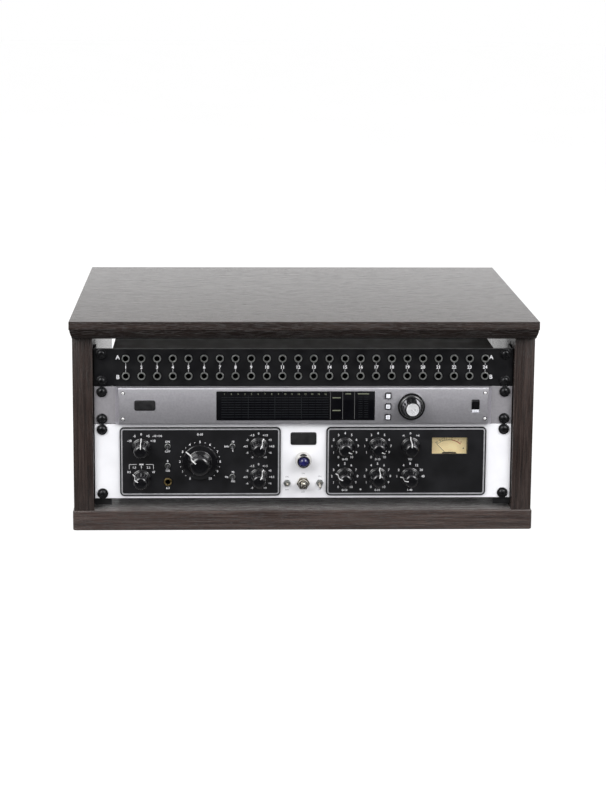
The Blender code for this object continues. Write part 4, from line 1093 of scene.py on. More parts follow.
# %% Interface face
display_low, display_high = low_of["display_window"], high_of["display_window"]
display_mid = middle_of["display_window"]
display_width, display_height = display_high.x - display_low.x, display_high.z - display_low.z
display_gap = 0.6 * mm
button_names = ["button_1", "button_2", "button_3"]
button_hole = 7.6 * mm
rocker_mid = pivots["interface_power_switch"]
slot_width, slot_height = 9.4 * mm, 14.8 * mm
dial_mid = pivots["interface_level_knob"]
openings = [rectangle(display_mid.x, display_mid.z, display_width + display_gap,
                      display_height + display_gap, 1.2 * mm)]
openings += [rectangle(middle_of[name].x, middle_of[name].z, button_hole, button_hole, 1.4 * mm)
             for name in button_names]
openings += [rectangle(rocker_mid.x, rocker_mid.z, slot_width, slot_height, 1.2 * mm),
             circle(dial_mid.x, dial_mid.z, 3.4 * mm, 24)]
face_back = panel_front + 1.5 * mm
cut_margin = 5 * mm
bm = bmesh.new()
stack(bm, [face_section(height, face_back) for height in heights])
bm = carved(bm, cutters(openings, inter_low.y - cut_margin, panel_front + cut_margin))
piece("interface_face", bm, [silver_paint], stands_for=["interface_panel"],
      sharp=25)

# %% [markdown]
# Behind the face lies the flat panel with its ears. It is a plate of its own here, a shade
# darker than the face because it lies in its shadow. A dark hollow lines the opening of each
# button and of the power switch.

# %% Interface ears and hollows
bm = bmesh.new()
behind_face = rectangle(0, inter_z, 2 * face_half - 8 * mm, 2 * half_height - 5 * mm)
plate(bm, panel_outline("interface_panel"), ear_holes("interface") + [behind_face], panel_front,
      inter_high.y)
piece("interface_ears", bm, [ear_silver])

bm = bmesh.new()
for outline in openings[1:-1]:
    stack(bm, [at(outline, panel_front + 0.6 * mm), at(outline, panel_front - 0.8 * mm)])
piece("interface_hollows", bm, [bore_black])

# %% [markdown]
# Four small bright screws hold the face on at its corners. Each sits in a dark ring, painted shade for the shade
# in its hole, which is what makes it stand out at a distance. The formula of the bend gives their depth.

# %% Corner screws
corner_rise = 15 * mm
corners = [(x, z) for x in (-208.1 * mm, 209.5 * mm)
           for z in (inter_z - corner_rise, inter_z + corner_rise)]
corner_points = [(x, panel_front - rise(z - inter_z) + 0.2 * mm, z) for x, z in corners]
small_screw_tree = screw_tree("small_screw", screw_bright, 11)
settle("interface_corner_screws",
       grow("interface_corner_screws", small_screw_tree, corner_points, head_radius=1.4 * mm,
            head_height=0.7 * mm, washer_radius=1.7 * mm, washer_height=0.5 * mm,
            socket_radius=0.6 * mm))
# Dark rings round the screws: painted shade for the shade in their holes.
shade_ring_inner, shade_ring_outer = 1.6 * mm, 2.4 * mm
shade_ring_front, shade_ring_back = -0.35 * mm, 1.2 * mm
shade_ring = [(shade_ring_inner, shade_ring_front), (shade_ring_outer, shade_ring_front), (shade_ring_outer, shade_ring_back), (shade_ring_inner, shade_ring_back)]
bm = bmesh.new()
for point in corner_points:
    turned(bm, Vector(point), shade_ring, 24, joined=True)
piece("interface_screw_cups", bm, [soft_black])

# %% [markdown]
# The display is a black glass window. It would stand upright in a face that leans, so its points
# are moved back by the lean of the face between its lower and its upper edge.

# %% Display glass
display_foot = proud - rise(display_low.z - inter_z)
display_lean = (rise(display_low.z - inter_z) - rise(display_high.z - inter_z)) / display_height
display_forward = 1.0 * mm
glass_front = display_low.y


def leaned(bm):
    """Leans the display back with the curve of the face."""
    for vertex in bm.verts:
        lean = display_lean * (vertex.co.z - display_low.z)
        vertex.co.y += display_foot + lean - display_forward


bm = bmesh.new()
block(bm, display_low, display_high, 0.15 * mm)
leaned(bm)
piece("display_glass", bm, [display_black], stands_for=["display_window"])

# %% [markdown]
# Behind the glass are rows of level segments that are nearly out: sixteen numbered columns, then
# three narrow fields between upright lines, with a few brighter marks. All of it is drawn as fine
# strips just in front of the glass, in three dim finishes. Places are measured from the display's
# upper left corner, to the right and down.

# %% Display segments
segment_ink = 0.02 * mm
columns, rows = 16, 9
column_pitch, row_pitch = 7.74 * mm, 2.85 * mm
first_column = display_low.x + 9.3 * mm


def level_line(bm, x, length, down, width, finish=0):
    """A level strip on the display, about a place along it and so far down, in millimetres."""
    z = display_high.z - down * mm
    stroke(bm, display_low.x + (x - length / 2) * mm, z, display_low.x + (x + length / 2) * mm, z,
           width * mm, glass_front, finish, segment_ink)


def upright_line(bm, x, top_gap, bottom_gap, width, finish):
    """An upright strip on the display, with its gaps to the upper and lower edge."""
    place = display_low.x + x * mm
    stroke(bm, place, display_high.z - top_gap * mm, place, display_low.z + bottom_gap * mm,
           width * mm, glass_front, finish, segment_ink)


bm = bmesh.new()
for column in range(columns):
    x = first_column + column * column_pitch
    printed(bm, str(column + 1), x, display_high.z - 3.1 * mm, 1.9 * mm, glass_front, 2,
            ink_height=segment_ink)
    for row in range(rows):
        z = display_high.z - 7.0 * mm - row * row_pitch
        stroke(bm, x - 3.6 * mm, z, x + 3.6 * mm, z, 0.5 * mm, glass_front, 0, segment_ink)
for x in (36.5, 67.2, 97.8):
    upright_line(bm, x, 5, 2, 0.5, 0)
for x in (131.2, 145.4, 159.1):
    upright_line(bm, x, 1, 1, 0.7, 1)
for x, down, length in ((138.4, 7.4, 9.5), (138.4, 22.3, 9.5), (151.7, 2.8, 6.4), (169.3, 2.8, 13.0)):
    level_line(bm, x, length, down, 1.2, 2)
for row in range(10):
    for x in (165.9, 172.6):
        level_line(bm, x, 4.8, 6.5 + row * 2.6, 0.45)
leaned(bm)
piece("display_segments", bm, [display_dim, display_line, display_mark])

# %% [markdown]
# Each button is a dark frame with a lit square in it. The frame is part of the button and moves
# with it. The second and third carry a plain sign instead of a word.

# %% Buttons
button_width, button_depth = 7.0 * mm, 4.6 * mm
lit_width, lit_depth = 4.8 * mm, 1.0 * mm
sign_line = 0.45 * mm
for name in button_names:
    x, z = middle_of[name].x, middle_of[name].z
    front = low_of[name].y
    bm = bmesh.new()
    outer = rectangle(x, z, button_width, button_width, 1.2 * mm)
    stack(bm, [at(grown(outer, -0.4 * mm), front), at(outer, front + 0.4 * mm),
               at(outer, front + button_depth)], 0)
    square = rectangle(x, z, lit_width, lit_width, 0.6 * mm)
    stack(bm, [at(grown(square, -0.15 * mm), front - 0.25 * mm), at(square, front - 0.1 * mm),
               at(square, front + lit_depth)], 1)
    signs = {"button_2": rectangle(x, z, 2.6 * mm, 2.6 * mm), "button_3": circle(x, z, 1.3 * mm, 20)}
    if name in signs:
        sign, inner = signs[name], grown(signs[name], -sign_line)
        foot, top = front - 0.22 * mm, front - 0.3 * mm
        stack(bm, [at(sign, foot), at(sign, top), at(inner, top), at(inner, foot)], 2, True)
    piece(f"interface_{name}", bm, [soft_black, button_lit, print_dark], name,
          [name])

# %% [markdown]
# The level knob turns without end. It is a black flange and cone with a fine grey line, and a
# turned metal cap. A turned face scatters light along its grooves, which run round the axis, so
# the cap has an anisotropic finish whose tangent goes round its own middle.

# %% Interface level knob
turned_silver = mottled("turned_silver", (0.78, 0.78, 0.80), (0.86, 0.86, 0.88), 200, (0.26, 0.32),
                        Metallic=0.45, Anisotropic=0.9)
cap_tree = turned_silver.node_tree
cap_tangent = node(cap_tree, "ShaderNodeTangent", direction_type="RADIAL", axis="Y")
cap_tree.links.new(cap_tangent.outputs["Tangent"],
                   cap_tree.nodes["Principled BSDF"].inputs["Tangent"])

dial_front = low_of["interface_level_knob"].y
dial_base = inter_low.y - 0.6 * mm
centre = Vector((dial_mid.x, 0, dial_mid.z))
cone = [(6.9 * mm, dial_front + 0.6 * mm), (7.9 * mm, dial_front + 0.25 * mm),
        (8.4 * mm, dial_front + 0.6 * mm), (8.9 * mm, dial_front + 1.6 * mm),
        (11.2 * mm, dial_base - 6.4 * mm), (11.9 * mm, dial_base - 5.2 * mm)]
flange = [(13.0 * mm, dial_base - 4.6 * mm), (15.2 * mm, dial_base - 4.2 * mm),
          (15.8 * mm, dial_base - 3.6 * mm), (16.0 * mm, dial_base - 2.8 * mm),
          (16.0 * mm, dial_base - 0.4 * mm), (15.6 * mm, dial_base)]
shaft = [(3.0 * mm, dial_base), (3.0 * mm, dial_base + 10 * mm)]
grey_line = [(13.1 * mm, dial_base - 4.70 * mm), (13.5 * mm, dial_base - 4.62 * mm),
             (13.5 * mm, dial_base - 4.2 * mm), (13.1 * mm, dial_base - 4.2 * mm)]
bm = bmesh.new()
turned(bm, centre, cone + flange + shaft, 72)
turned(bm, centre, grey_line, 72, 1, True)
piece("level_dial", bm, [knob_gloss, bare_edge], "interface_level_knob",
      ["interface_level_knob"])
bm = bmesh.new()
turned(bm, centre, [(0.4 * mm, dial_front + 0.35 * mm), (6.3 * mm, dial_front + 0.12 * mm),
                    (7.0 * mm, dial_front + 0.02 * mm), (7.3 * mm, dial_front + 0.3 * mm),
                    (7.3 * mm, dial_front + 1.2 * mm)], 72)
piece("level_dial_cap", bm, [turned_silver], "interface_level_knob")

# %% [markdown]
# The power switch is a rocker in a black slot. Its section is an arc about the pivot with a shallow valley, so
# both halves stay in the slot at either end of the swing. It rests with its upper half out. The rocker's lower end
# face and a pale lip at the foot of the slot have the lit buttons' glowing finish: a painted highlight where light
# catches the foot of the slot.

# %% Interface power switch
rest_swing = math.radians(8)
radius = 7.0 * mm
half_width = 4.2 * mm
arc = [math.radians(angle) for angle in range(62, 112, 6)]
section = [(-4.1 * mm, 0.0)] + [(-radius * math.cos(a), radius * math.sin(a)) for a in arc]
section += [(-radius * math.cos(a), -radius * math.sin(a)) for a in reversed(arc)]
section.append((-3.6 * mm, -3.9 * mm))
sides = [(-half_width, 0.94), (-half_width + 0.4 * mm, 1.0), (half_width - 0.4 * mm, 1.0),
         (half_width, 0.94)]
bm = bmesh.new()
walls = stack(bm, [[(x, y * scale, z * scale) for y, z in section] for x, scale in sides])
# The rocker's lower end face gets the glowing finish: painted highlight.
for i, face in enumerate(walls[:-2]):
    face.material_index = int(i % len(section) == len(section) - 2)
swing = Matrix.Translation(rocker_mid) @ Matrix.Rotation(rest_swing, 4, "X")
bmesh.ops.transform(bm, matrix=swing, verts=bm.verts)
piece("power_rocker", bm, [knob_gloss, button_lit], "interface_power_switch",
      ["interface_power_switch"], 20)
# The lip glows with the lit buttons' finish: painted highlight.
bm = bmesh.new()
lip_z = rocker_mid.z - slot_height / 2
block(bm, (rocker_mid.x - slot_width / 2 + 0.4 * mm, inter_low.y + 0.2 * mm, lip_z - 0.05 * mm),
      (rocker_mid.x + slot_width / 2 - 0.4 * mm, inter_low.y + 3.0 * mm, lip_z + 0.45 * mm), 0.15 * mm)
piece("power_slot_lip", bm, [button_lit])

# %% [markdown]
# A badge is a plain oblong: a domed black plate in a thin dark rim, and it is bare. One lies at
# the left of the interface's face, and the channel strip gets another from the same function.


# %% Badges
def badge(name, x, z, width, height, front):
    """A bare badge: a rim and a domed plate in it."""
    outer = rectangle(x, z, width, height, 2.2 * mm)
    inner = grown(outer, -0.9 * mm)
    bm = bmesh.new()
    stack(bm, [at(grown(outer, -0.25 * mm), front - 0.8 * mm), at(outer, front - 0.6 * mm),
               at(outer, front + 1.4 * mm)], 1)
    stack(bm, [at(grown(inner, -0.8 * mm), front - 1.1 * mm),
               at(grown(inner, -0.25 * mm), front - 1.0 * mm),
               at(inner, front - 0.8 * mm), at(inner, front)], 0)
    piece(name, bm, [soft_black, edge_black])


badge("interface_badge", -183 * mm, inter_z + 1 * mm, 24 * mm, 12 * mm, inter_low.y)

# %% [markdown]
# The channel strip's panel is pale paint on sheet metal, with holes for what passes through it:
# the switches' bushings, the knobs' shafts, the instrument jack and the meter.

# %% Strip panel
strip_low, strip_high = low_of["strip_panel"], high_of["strip_panel"]
strip_z = (strip_low.z + strip_high.z) / 2
plate_knobs = [name for name in pivots if name.endswith("_knob") and name != "interface_level_knob"]
plate_toggles = ["phantom_toggle", "polarity_toggle", "high_frequency_toggle", "low_frequency_toggle"]
panel_toggles = ["left_mode_toggle", "right_mode_toggle"]
power = pivots["power_toggle"]
instrument_mid = middle_of["instrument_jack"]
meter_low, meter_high = low_of["meter_window"], high_of["meter_window"]
meter_mid = middle_of["meter_window"]
meter_gap = 0.4 * mm


def hole_at(place, radius, sides=20):
    """A round hole about a place on the front."""
    return circle(place.x, place.z, radius, sides)


panel_holes = [hole_at(pivots[name], 2.4 * mm) for name in panel_toggles + plate_toggles]
panel_holes += [hole_at(pivots[name], 4 * mm) for name in plate_knobs]
panel_holes += [hole_at(power, 5 * mm, 24), hole_at(instrument_mid, 5.2 * mm, 24),
                rectangle(meter_mid.x, meter_mid.z, meter_high.x - meter_low.x + meter_gap,
                          meter_high.z - meter_low.z + meter_gap)]
bm = bmesh.new()
plate(bm, panel_outline("strip_panel"), ear_holes("strip") + panel_holes, panel_front, strip_high.y)
piece("strip_front", bm, [pale_paint], stands_for=["strip_panel"])

# %% [markdown]
# Two black plates with round corners lie on the panel, and the right one has a window for the
# meter. Each has a silver pinstripe set in from its edge. The stripe is a flat ring with eased
# edges that stands out by a tenth of a millimetre.

# %% Black plates
plate_corner = 5.0 * mm
stripe_inset, stripe_width = 1.6 * mm, 1.5 * mm
view_width, view_height = 41.4 * mm, 19.5 * mm
view_x, view_z = meter_mid.x, strip_z + 18.4 * mm


def plate_holes(side):
    """The holes of the left plate, for a side of -1, or of the right one."""
    holes = [hole_at(pivots[name], 3.6 * mm) for name in plate_knobs if pivots[name].x * side > 0]
    if side > 0:
        return holes + [rectangle(view_x, view_z, view_width, view_height, 0.8 * mm)]
    holes += [hole_at(pivots[name], 2.1 * mm) for name in plate_toggles]
    return holes + [hole_at(instrument_mid, 4.9 * mm, 24)]


def pinstripe(name, outline):
    """The silver stripe on a plate with this outline."""
    outer, inner = grown(outline, -stripe_inset), grown(outline, -stripe_inset - stripe_width)
    foot, edge = plate_front + 0.1 * mm, plate_front - 0.05 * mm
    top = edge - 0.06 * mm
    bm = bmesh.new()
    stack(bm, [at(outer, foot), at(outer, edge), at(grown(outer, -0.25 * mm), top),
               at(grown(inner, 0.25 * mm), top), at(inner, edge), at(inner, foot)], joined=True)
    piece(name, bm, [pinstripe_silver])


for name, side in (("preamp_plate", -1), ("compressor_plate", 1)):
    low, high = low_of[name], high_of[name]
    outline = rectangle(middle_of[name].x, middle_of[name].z, high.x - low.x, high.z - low.z,
                        plate_corner, 8)
    bm = bmesh.new()
    plate(bm, outline, plate_holes(side), plate_front, high.y, 0.35 * mm)
    piece(name + "_front", bm, [plate_black], stands_for=[name])
    pinstripe(name + "_pinstripe", outline)

# %% [markdown]
# A knob is moulded in one piece, so it is turned from one profile here: a flat skirt, a hollow
# where the skirt meets the body, a slightly tapered body and a cap with a rounded edge. The cap's
# top is dished by less than half a millimetre.


# %% Knob profile
def knob_profile(skirt, body, cap, height, step):
    """(radius, distance from the plate) from the cap's middle to the skirt's foot."""
    edge = cap * 0.5
    points = [(0.5 * mm, height - 0.40 * mm), (cap * 0.30, height - 0.34 * mm),
              (cap * 0.44, height - 0.10 * mm)]
    points += [(cap - edge + edge * math.sin(a), height - edge + edge * math.cos(a))
               for a in (math.pi / 2 * i / 8 for i in range(9))]
    hollow = 1.6 * mm
    points += [(body - 0.1 * mm, step + hollow)]
    points += [(body + hollow * (1 - math.cos(a)), step + 0.2 * mm + hollow * (1 - math.sin(a)))
               for a in (math.pi / 2 * i / 5 for i in range(1, 6))]
    rim = step * 0.86
    points += [(skirt - 1.0 * mm, rim + 0.35 * mm), (skirt - 0.3 * mm, rim), (skirt, rim - 0.5 * mm),
               (skirt, 0.9 * mm), (skirt - 0.4 * mm, 0.6 * mm)]
    return points


print("knob profile ready")

# %% [markdown]
# The white pointer is a thin inlay. It follows the knob's profile from the skirt's edge up the
# side and over the cap, so the function offsets the profile by a hair and gives it a width.


# %% Pointer
def pointer_rings(profile, width, reach):
    """Cross-sections of the inlay along the profile, from the cap to the skirt's side."""
    run = [point for point in profile if point[0] >= reach and point[1] >= 1.2 * mm]
    rings = []
    for i, (radius, out) in enumerate(run):
        before, after = run[max(i - 1, 0)], run[min(i + 1, len(run) - 1)]
        along = Vector((after[0] - before[0], after[1] - before[1])).normalized()
        square = Vector((-along.y, along.x))
        square = square if square.dot(Vector((0.5, 1.0))) > 0 else -square
        top = Vector((radius, out)) + square * 0.10 * mm
        foot = Vector((radius, out)) - square * 0.5 * mm
        rings.append([(-width / 2, -top.y, top.x), (width / 2, -top.y, top.x),
                      (width / 2, -foot.y, foot.x), (-width / 2, -foot.y, foot.x)])
    return rings


print("pointer ready")

# %% [markdown]
# Each knob is made upright about the origin, then turned to its rest angle and put on its pivot.
# The large level knob has the same profile as the ten small ones, with a wider skirt, body and
# cap.

# %% Knobs
knob_height = 23.8 * mm
skirt_height = 4.3 * mm
origin = Vector((0, 0, 0))


def rest_angle(name):
    """A knob's angle at rest, read from its joint: upright is in the middle of the range."""
    joint = next(one for one in frame["joints"] if one["child"] == name)
    low, high = joint["range_deg"]
    return -math.radians((low + high) / 2)


def strip_knob(name):
    """One knob of the channel strip, on its own body."""
    large = name == "level_knob"
    skirt, body, cap = (size * mm for size in ((20.5, 13.2, 12.4) if large else (11.4, 8.6, 8.0)))
    profile = knob_profile(skirt, body, cap, knob_height, skirt_height)
    foot = [(3.0 * mm, 0.6 * mm), (3.0 * mm, -8 * mm)]
    bm = bmesh.new()
    turned(bm, origin, [(radius, -out) for radius, out in profile + foot], 72 if large else 56)
    stack(bm, pointer_rings(profile, 1.35 * mm if large else 1.1 * mm, cap * 0.42), 1)
    place = Matrix.Translation(pivots[name]) @ Matrix.Rotation(rest_angle(name), 4, "Y")
    bmesh.ops.transform(bm, matrix=place, verts=bm.verts)
    piece(name + "_cap", bm, [knob_gloss, pointer_white], name, [name])


for name in plate_knobs:
    strip_knob(name)

# %% [markdown]
# A toggle switch has a nut, a threaded bushing and a bat lever whose ball sits in the bushing's
# mouth. Nut and bushing stay with the panel and the lever rides on its own body. The lever is
# turned about its own line, tilted to its rest angle and put on its pivot.


# %% Parts of a toggle
def nut_and_bushing(bm, pivot, front, nut, bushing, bore, sides=6, thread=0):
    """A nut and a bushing whose mouth is at the lever's pivot. The sizes are radii."""
    height = front - pivot.y
    nut_out = front - height * 0.40
    outline = circle(pivot.x, pivot.z, nut, sides, math.pi / sides)
    collar = circle(pivot.x, pivot.z, bushing * 0.9, sides, math.pi / sides)
    stack(bm, [at(outline, front + 0.3 * mm), at(outline, nut_out + 0.25 * mm),
               at(grown(outline, -0.3 * mm), nut_out), at(collar, nut_out)])
    threads = [(bushing, front - height * 0.38), (bushing, pivot.y + height * 0.1),
               (bushing * 0.92, pivot.y), (bore, pivot.y), (bore, front + 2 * mm),
               (bushing, front + 2 * mm)]
    turned(bm, Vector((pivot.x, 0, pivot.z)), threads, 28, thread, True)


def lever(name, tilt, scale, finish):
    """A bat lever: a slim neck that swells to a round tip."""
    length, tip, neck, ball = 9.0 * scale, 1.3 * scale, 0.75 * scale, 1.55 * scale
    tip_turns = [math.pi / 2 * i / 6 for i in range(1, 7)]
    profile = [(tip * math.sin(a), -length + tip - tip * math.cos(a)) for a in tip_turns]
    profile += [(tip * 0.96, -length * 0.72), (neck, -ball * 1.25)]
    profile += [(ball * math.sin(a), -ball * math.cos(a))
                for a in (math.radians(degrees) for degrees in (45, 65, 90, 115, 140))]
    profile += [(neck, ball * 1.6)]
    bm = bmesh.new()
    turned(bm, origin, [(radius * mm, depth * mm) for radius, depth in profile], 28)
    place = Matrix.Translation(pivots[name]) @ Matrix.Rotation(math.radians(tilt), 4, "X")
    bmesh.ops.transform(bm, matrix=place, verts=bm.verts)
    piece(name + "_lever", bm, [finish], name, [name])


print("toggle parts ready")

# %% [markdown]
# The four small switches on the left plate have round dress nuts with black bushings. The two on
# the panel have hex nuts, and so has the large power switch. Some levers rest up, some down, and
# two in the middle.

# %% Toggle switches
tilts = {"phantom_toggle": 12, "polarity_toggle": 12, "high_frequency_toggle": 0,
         "low_frequency_toggle": 0, "left_mode_toggle": -12, "right_mode_toggle": 12}
bm = bmesh.new()
for name in plate_toggles:
    nut_and_bushing(bm, pivots[name], plate_front, 3.3 * mm, 2.5 * mm, 1.8 * mm, sides=24, thread=1)
    lever(name, tilts[name], 1.0, dark_nickel)
piece("plate_toggle_nuts", bm, [jack_nickel, soft_black])
bm = bmesh.new()
for name in panel_toggles:
    nut_and_bushing(bm, pivots[name], panel_front, 4.3 * mm, 3.0 * mm, 2.15 * mm)
    lever(name, tilts[name], 1.2, warm_nickel)
piece("panel_toggle_nuts", bm, [jack_nickel])
bm = bmesh.new()
nut_and_bushing(bm, power, panel_front, 7.7 * mm, 5.6 * mm, 3.8 * mm)
piece("power_toggle_nut", bm, [warm_nickel])
lever("power_toggle", -17, 2.2, warm_nickel)

# %% [markdown]
# The pilot lamp has a bright bezel and a faceted jewel of blue glass. The bezel is turned. The
# jewel is a stack of ten-sided rings, each turned half a step against the last, which gives
# triangles that catch the light one by one.

# %% Pilot lamp
lamp_x, lamp_z = middle_of["power_lamp"].x, middle_of["power_lamp"].z
lamp_tip = low_of["power_lamp"].y
bezel = [(5.9 * mm, lamp_tip + 4.2 * mm), (6.3 * mm, lamp_tip + 3.6 * mm),
         (6.9 * mm, lamp_tip + 3.5 * mm), (7.5 * mm, lamp_tip + 4.2 * mm),
         (9.0 * mm, lamp_tip + 11.2 * mm), (9.6 * mm, lamp_tip + 12.4 * mm),
         (9.6 * mm, panel_front - 0.3 * mm), (9.2 * mm, panel_front), (5.9 * mm, panel_front)]
bm = bmesh.new()
turned(bm, Vector((lamp_x, 0, lamp_z)), bezel, 56, joined=True)
piece("lamp_bezel", bm, [lamp_chrome], stands_for=["power_lamp"])

facets = 10
levels = [(2.2, 0.0), (4.2, 0.9), (5.4, 2.3), (5.8, 4.2), (5.8, 6.0)]
bm = bmesh.new()
rings = [[bm.verts.new((x, lamp_tip + depth * mm, z)) for x, z in
          circle(lamp_x, lamp_z, radius * mm, facets, (i % 2) * math.pi / facets)]
         for i, (radius, depth) in enumerate(levels)]
for i, (first, second) in enumerate(zip(rings, rings[1:])):
    for k in range(facets):
        after = (k + 1) % facets
        if i % 2:
            bm.faces.new((first[k], second[after], second[k]))
            bm.faces.new((first[k], first[after], second[after]))
        else:
            bm.faces.new((first[k], first[after], second[k]))
            bm.faces.new((first[after], second[after], second[k]))
bm.faces.new(rings[0])
bm.faces.new(rings[-1])
piece("lamp_jewel", bm, [lens_blue], sharp=5)

# %% [markdown]
# The instrument jack is one more ring, in brass, from the same tree as the patchbay's. Behind the
# panel it has a round black body.

# %% Instrument jack
instrument_tree = ring_tree("instrument_ring", brass)
instrument_point = (instrument_mid.x, low_of["instrument_jack"].y + 2 * mm, instrument_mid.z)
settle("instrument_ring",
       grow("instrument_ring", instrument_tree, [instrument_point], outer_radius=4.6 * mm,
            bore_radius=2.9 * mm, bore_depth=26 * mm),
       stands_for=["instrument_jack"])
body_front, body_back = strip_high.y + 0.4 * mm, high_of["instrument_jack"].y
body_ease = 0.4 * mm
bm = bmesh.new()
turned(bm, Vector((instrument_mid.x, 0, instrument_mid.z)),
       [(6.6 * mm, body_front), (7.0 * mm, body_front + body_ease),
        (7.0 * mm, body_back - body_ease), (6.6 * mm, body_back), (3.4 * mm, body_back),
        (3.4 * mm, body_front)], 32, joined=True)
piece("instrument_jack_body", bm, [soft_black])

# %% [markdown]
# The level meter sits behind a window in the right plate: a cream card with its scale, a needle,
# a dark cover over the needle's foot and a pane of glass. Places on the scale are angles and
# radii about the needle's pivot, and a printed arc is a strip of short straight steps.

# %% Meter card
needle_pivot = pivots["meter_needle"]
card_low, card_high = low_of["meter_dial"], high_of["meter_dial"]
scale_level = card_low.y
bm = bmesh.new()
block(bm, card_low, card_high, 0.1 * mm, steps=1)
piece("meter_card", bm, [meter_cream], stands_for=["meter_dial"])


def on_scale(angle, radius):
    """A place on the card, by degrees from upright and distance from the needle's pivot."""
    turn = math.radians(angle)
    return needle_pivot.x + radius * math.sin(turn), needle_pivot.z + radius * math.cos(turn)


def arc_strip(bm, start, end, radius, width, finish):
    """A printed arc from one angle to another."""
    steps = max(int(abs(end - start) / 3), 2)
    angles = [start + (end - start) * i / steps for i in range(steps + 1)]
    outline = [on_scale(angle, radius + width / 2) for angle in angles]
    outline += [on_scale(angle, radius - width / 2) for angle in reversed(angles)]
    front = [bm.verts.new(point) for point in at(outline, scale_level - ink)]
    back = [bm.verts.new(point) for point in at(outline, scale_level + ink)]
    total = len(outline)
    for i in range(steps):
        for ring in (front, back):
            step_corners = (ring[i], ring[i + 1], ring[total - 2 - i], ring[total - 1 - i])
            bm.faces.new(step_corners).material_index = finish
    for i in range(total):
        j = (i + 1) % total
        bm.faces.new((front[i], front[j], back[j], back[i])).material_index = finish


# %% [markdown]
# The scale runs in black, and in red where the level is too high, with ticks and plain numbers.
# A small stud sits at its right.

# %% Meter scale
scale_radius = view_z + 5.2 * mm - needle_pivot.z
scale_half = 43.0
red_from = 9.0
fine_line = 0.30 * mm
bm = bmesh.new()
arc_strip(bm, -scale_half, red_from, scale_radius, fine_line, 0)
arc_strip(bm, red_from, scale_half, scale_radius, 0.9 * mm, 1)
# A space after a number sets it a little to the left.
marks = {"20": -41, "10": -30, "7": -22, "5": -15, "3": -8, "1": 0, "0": 9, "1 ": 19, "2": 29, "3 ": 40}
for text, angle in marks.items():
    finish = 1 if angle > red_from else 0
    foot, top = on_scale(angle, scale_radius), on_scale(angle, scale_radius + 1.2 * mm)
    stroke(bm, *foot, *top, fine_line, scale_level, finish)
    x, z = on_scale(angle, scale_radius + 2.5 * mm)
    printed(bm, text, x, z, 1.7 * mm, scale_level, finish, weight=0.02)
turned(bm, Vector((view_x + 16.8 * mm, scale_level, view_z - 5.0 * mm)),
       [(0.2 * mm, -0.12 * mm), (0.75 * mm, -0.1 * mm), (0.8 * mm, 0.1 * mm)], 16)
piece("meter_scale", bm, [scale_black, scale_red])

# %% [markdown]
# The needle is a flat blade that narrows to its tip, on a small hub. It is as long as the packed
# one, and it is laid over to the left, where the meter rests without a signal.

# %% Meter needle
needle_points = [vertex.co for vertex in frame["nodes"]["meter_needle"].data.vertices]
needle_length = max(math.hypot(point.x - needle_pivot.x, point.z - needle_pivot.z)
                    for point in needle_points)
needle_rest = -math.radians(44)
bm = bmesh.new()
turned(bm, origin, [(1.2 * mm, -1.3 * mm), (1.4 * mm, -1.1 * mm), (1.4 * mm, -0.4 * mm)], 24)
blade = [(-0.28 * mm, 0), (0.28 * mm, 0), (0.14 * mm, needle_length), (-0.14 * mm, needle_length)]
stack(bm, [at(blade, -1.1 * mm), at(blade, -0.9 * mm)])
place = Matrix.Translation(needle_pivot) @ Matrix.Rotation(needle_rest, 4, "Y")
bmesh.ops.transform(bm, matrix=place, verts=bm.verts)
piece("meter_pointer", bm, [soft_black], "meter_needle", ["meter_needle"])

# %% [markdown]
# The cover hides the needle's foot. Its upper edge is bowed a little. The glass fills the window
# and is the last layer in front.

# %% Needle cover and glass
cover_half = 7.6 * mm
cover_low = view_z - view_height / 2 - 0.5 * mm
bow_steps = 12
cover_top = [(view_x + cover_half * (1 - 2 * i / bow_steps),
              cover_low + 1.4 * mm + 0.3 * mm * math.sin(math.pi * i / bow_steps))
             for i in range(bow_steps + 1)]
cover = [(view_x - cover_half - 1 * mm, cover_low), (view_x + cover_half + 1 * mm, cover_low)]
cover += cover_top
bm = bmesh.new()
stack(bm, [at(cover, meter_high.y + 1.2 * mm), at(cover, meter_high.y + 2.4 * mm)])
piece("meter_needle_cover", bm, [scale_black])

bm = bmesh.new()
block(bm, meter_low, meter_high, 0.1 * mm, steps=1)
piece("meter_pane", bm, [window_glass], stands_for=["meter_window"])

# %% [markdown]
# Now the print on the black plates. Every dial has plain numbers at even steps of its travel.
# Where the real unit has a word under or over a control, the print here gives the control's
# range in plain numbers, or ON and OFF.

# %% Dial print
numeral = 2.7 * mm
small_numeral = 2.4 * mm
tens = [(30 * i - 150, str(i)) for i in range(11)]


def ring_of(bm, name, marks, radius, height):
    """Numbers round a knob. The marks are (angle, text) pairs, clockwise from upright."""
    for angle, text in marks:
        turn = math.radians(angle)
        printed(bm, text, pivots[name].x + radius * math.sin(turn),
                pivots[name].z + radius * math.cos(turn), height, plate_front)


def beside(bm, place, right, up, text, height=small_numeral):
    """A word on a plate, at a distance from the middle of its control."""
    printed(bm, text, place.x + right, place.z + up, height, plate_front)


print("dial print ready")

# %% [markdown]
# The gain and the equaliser knobs have signed numbers, and the compressor's knobs count from 0
# to 10, or to 40 for its ratio. The meter's selector has three places.

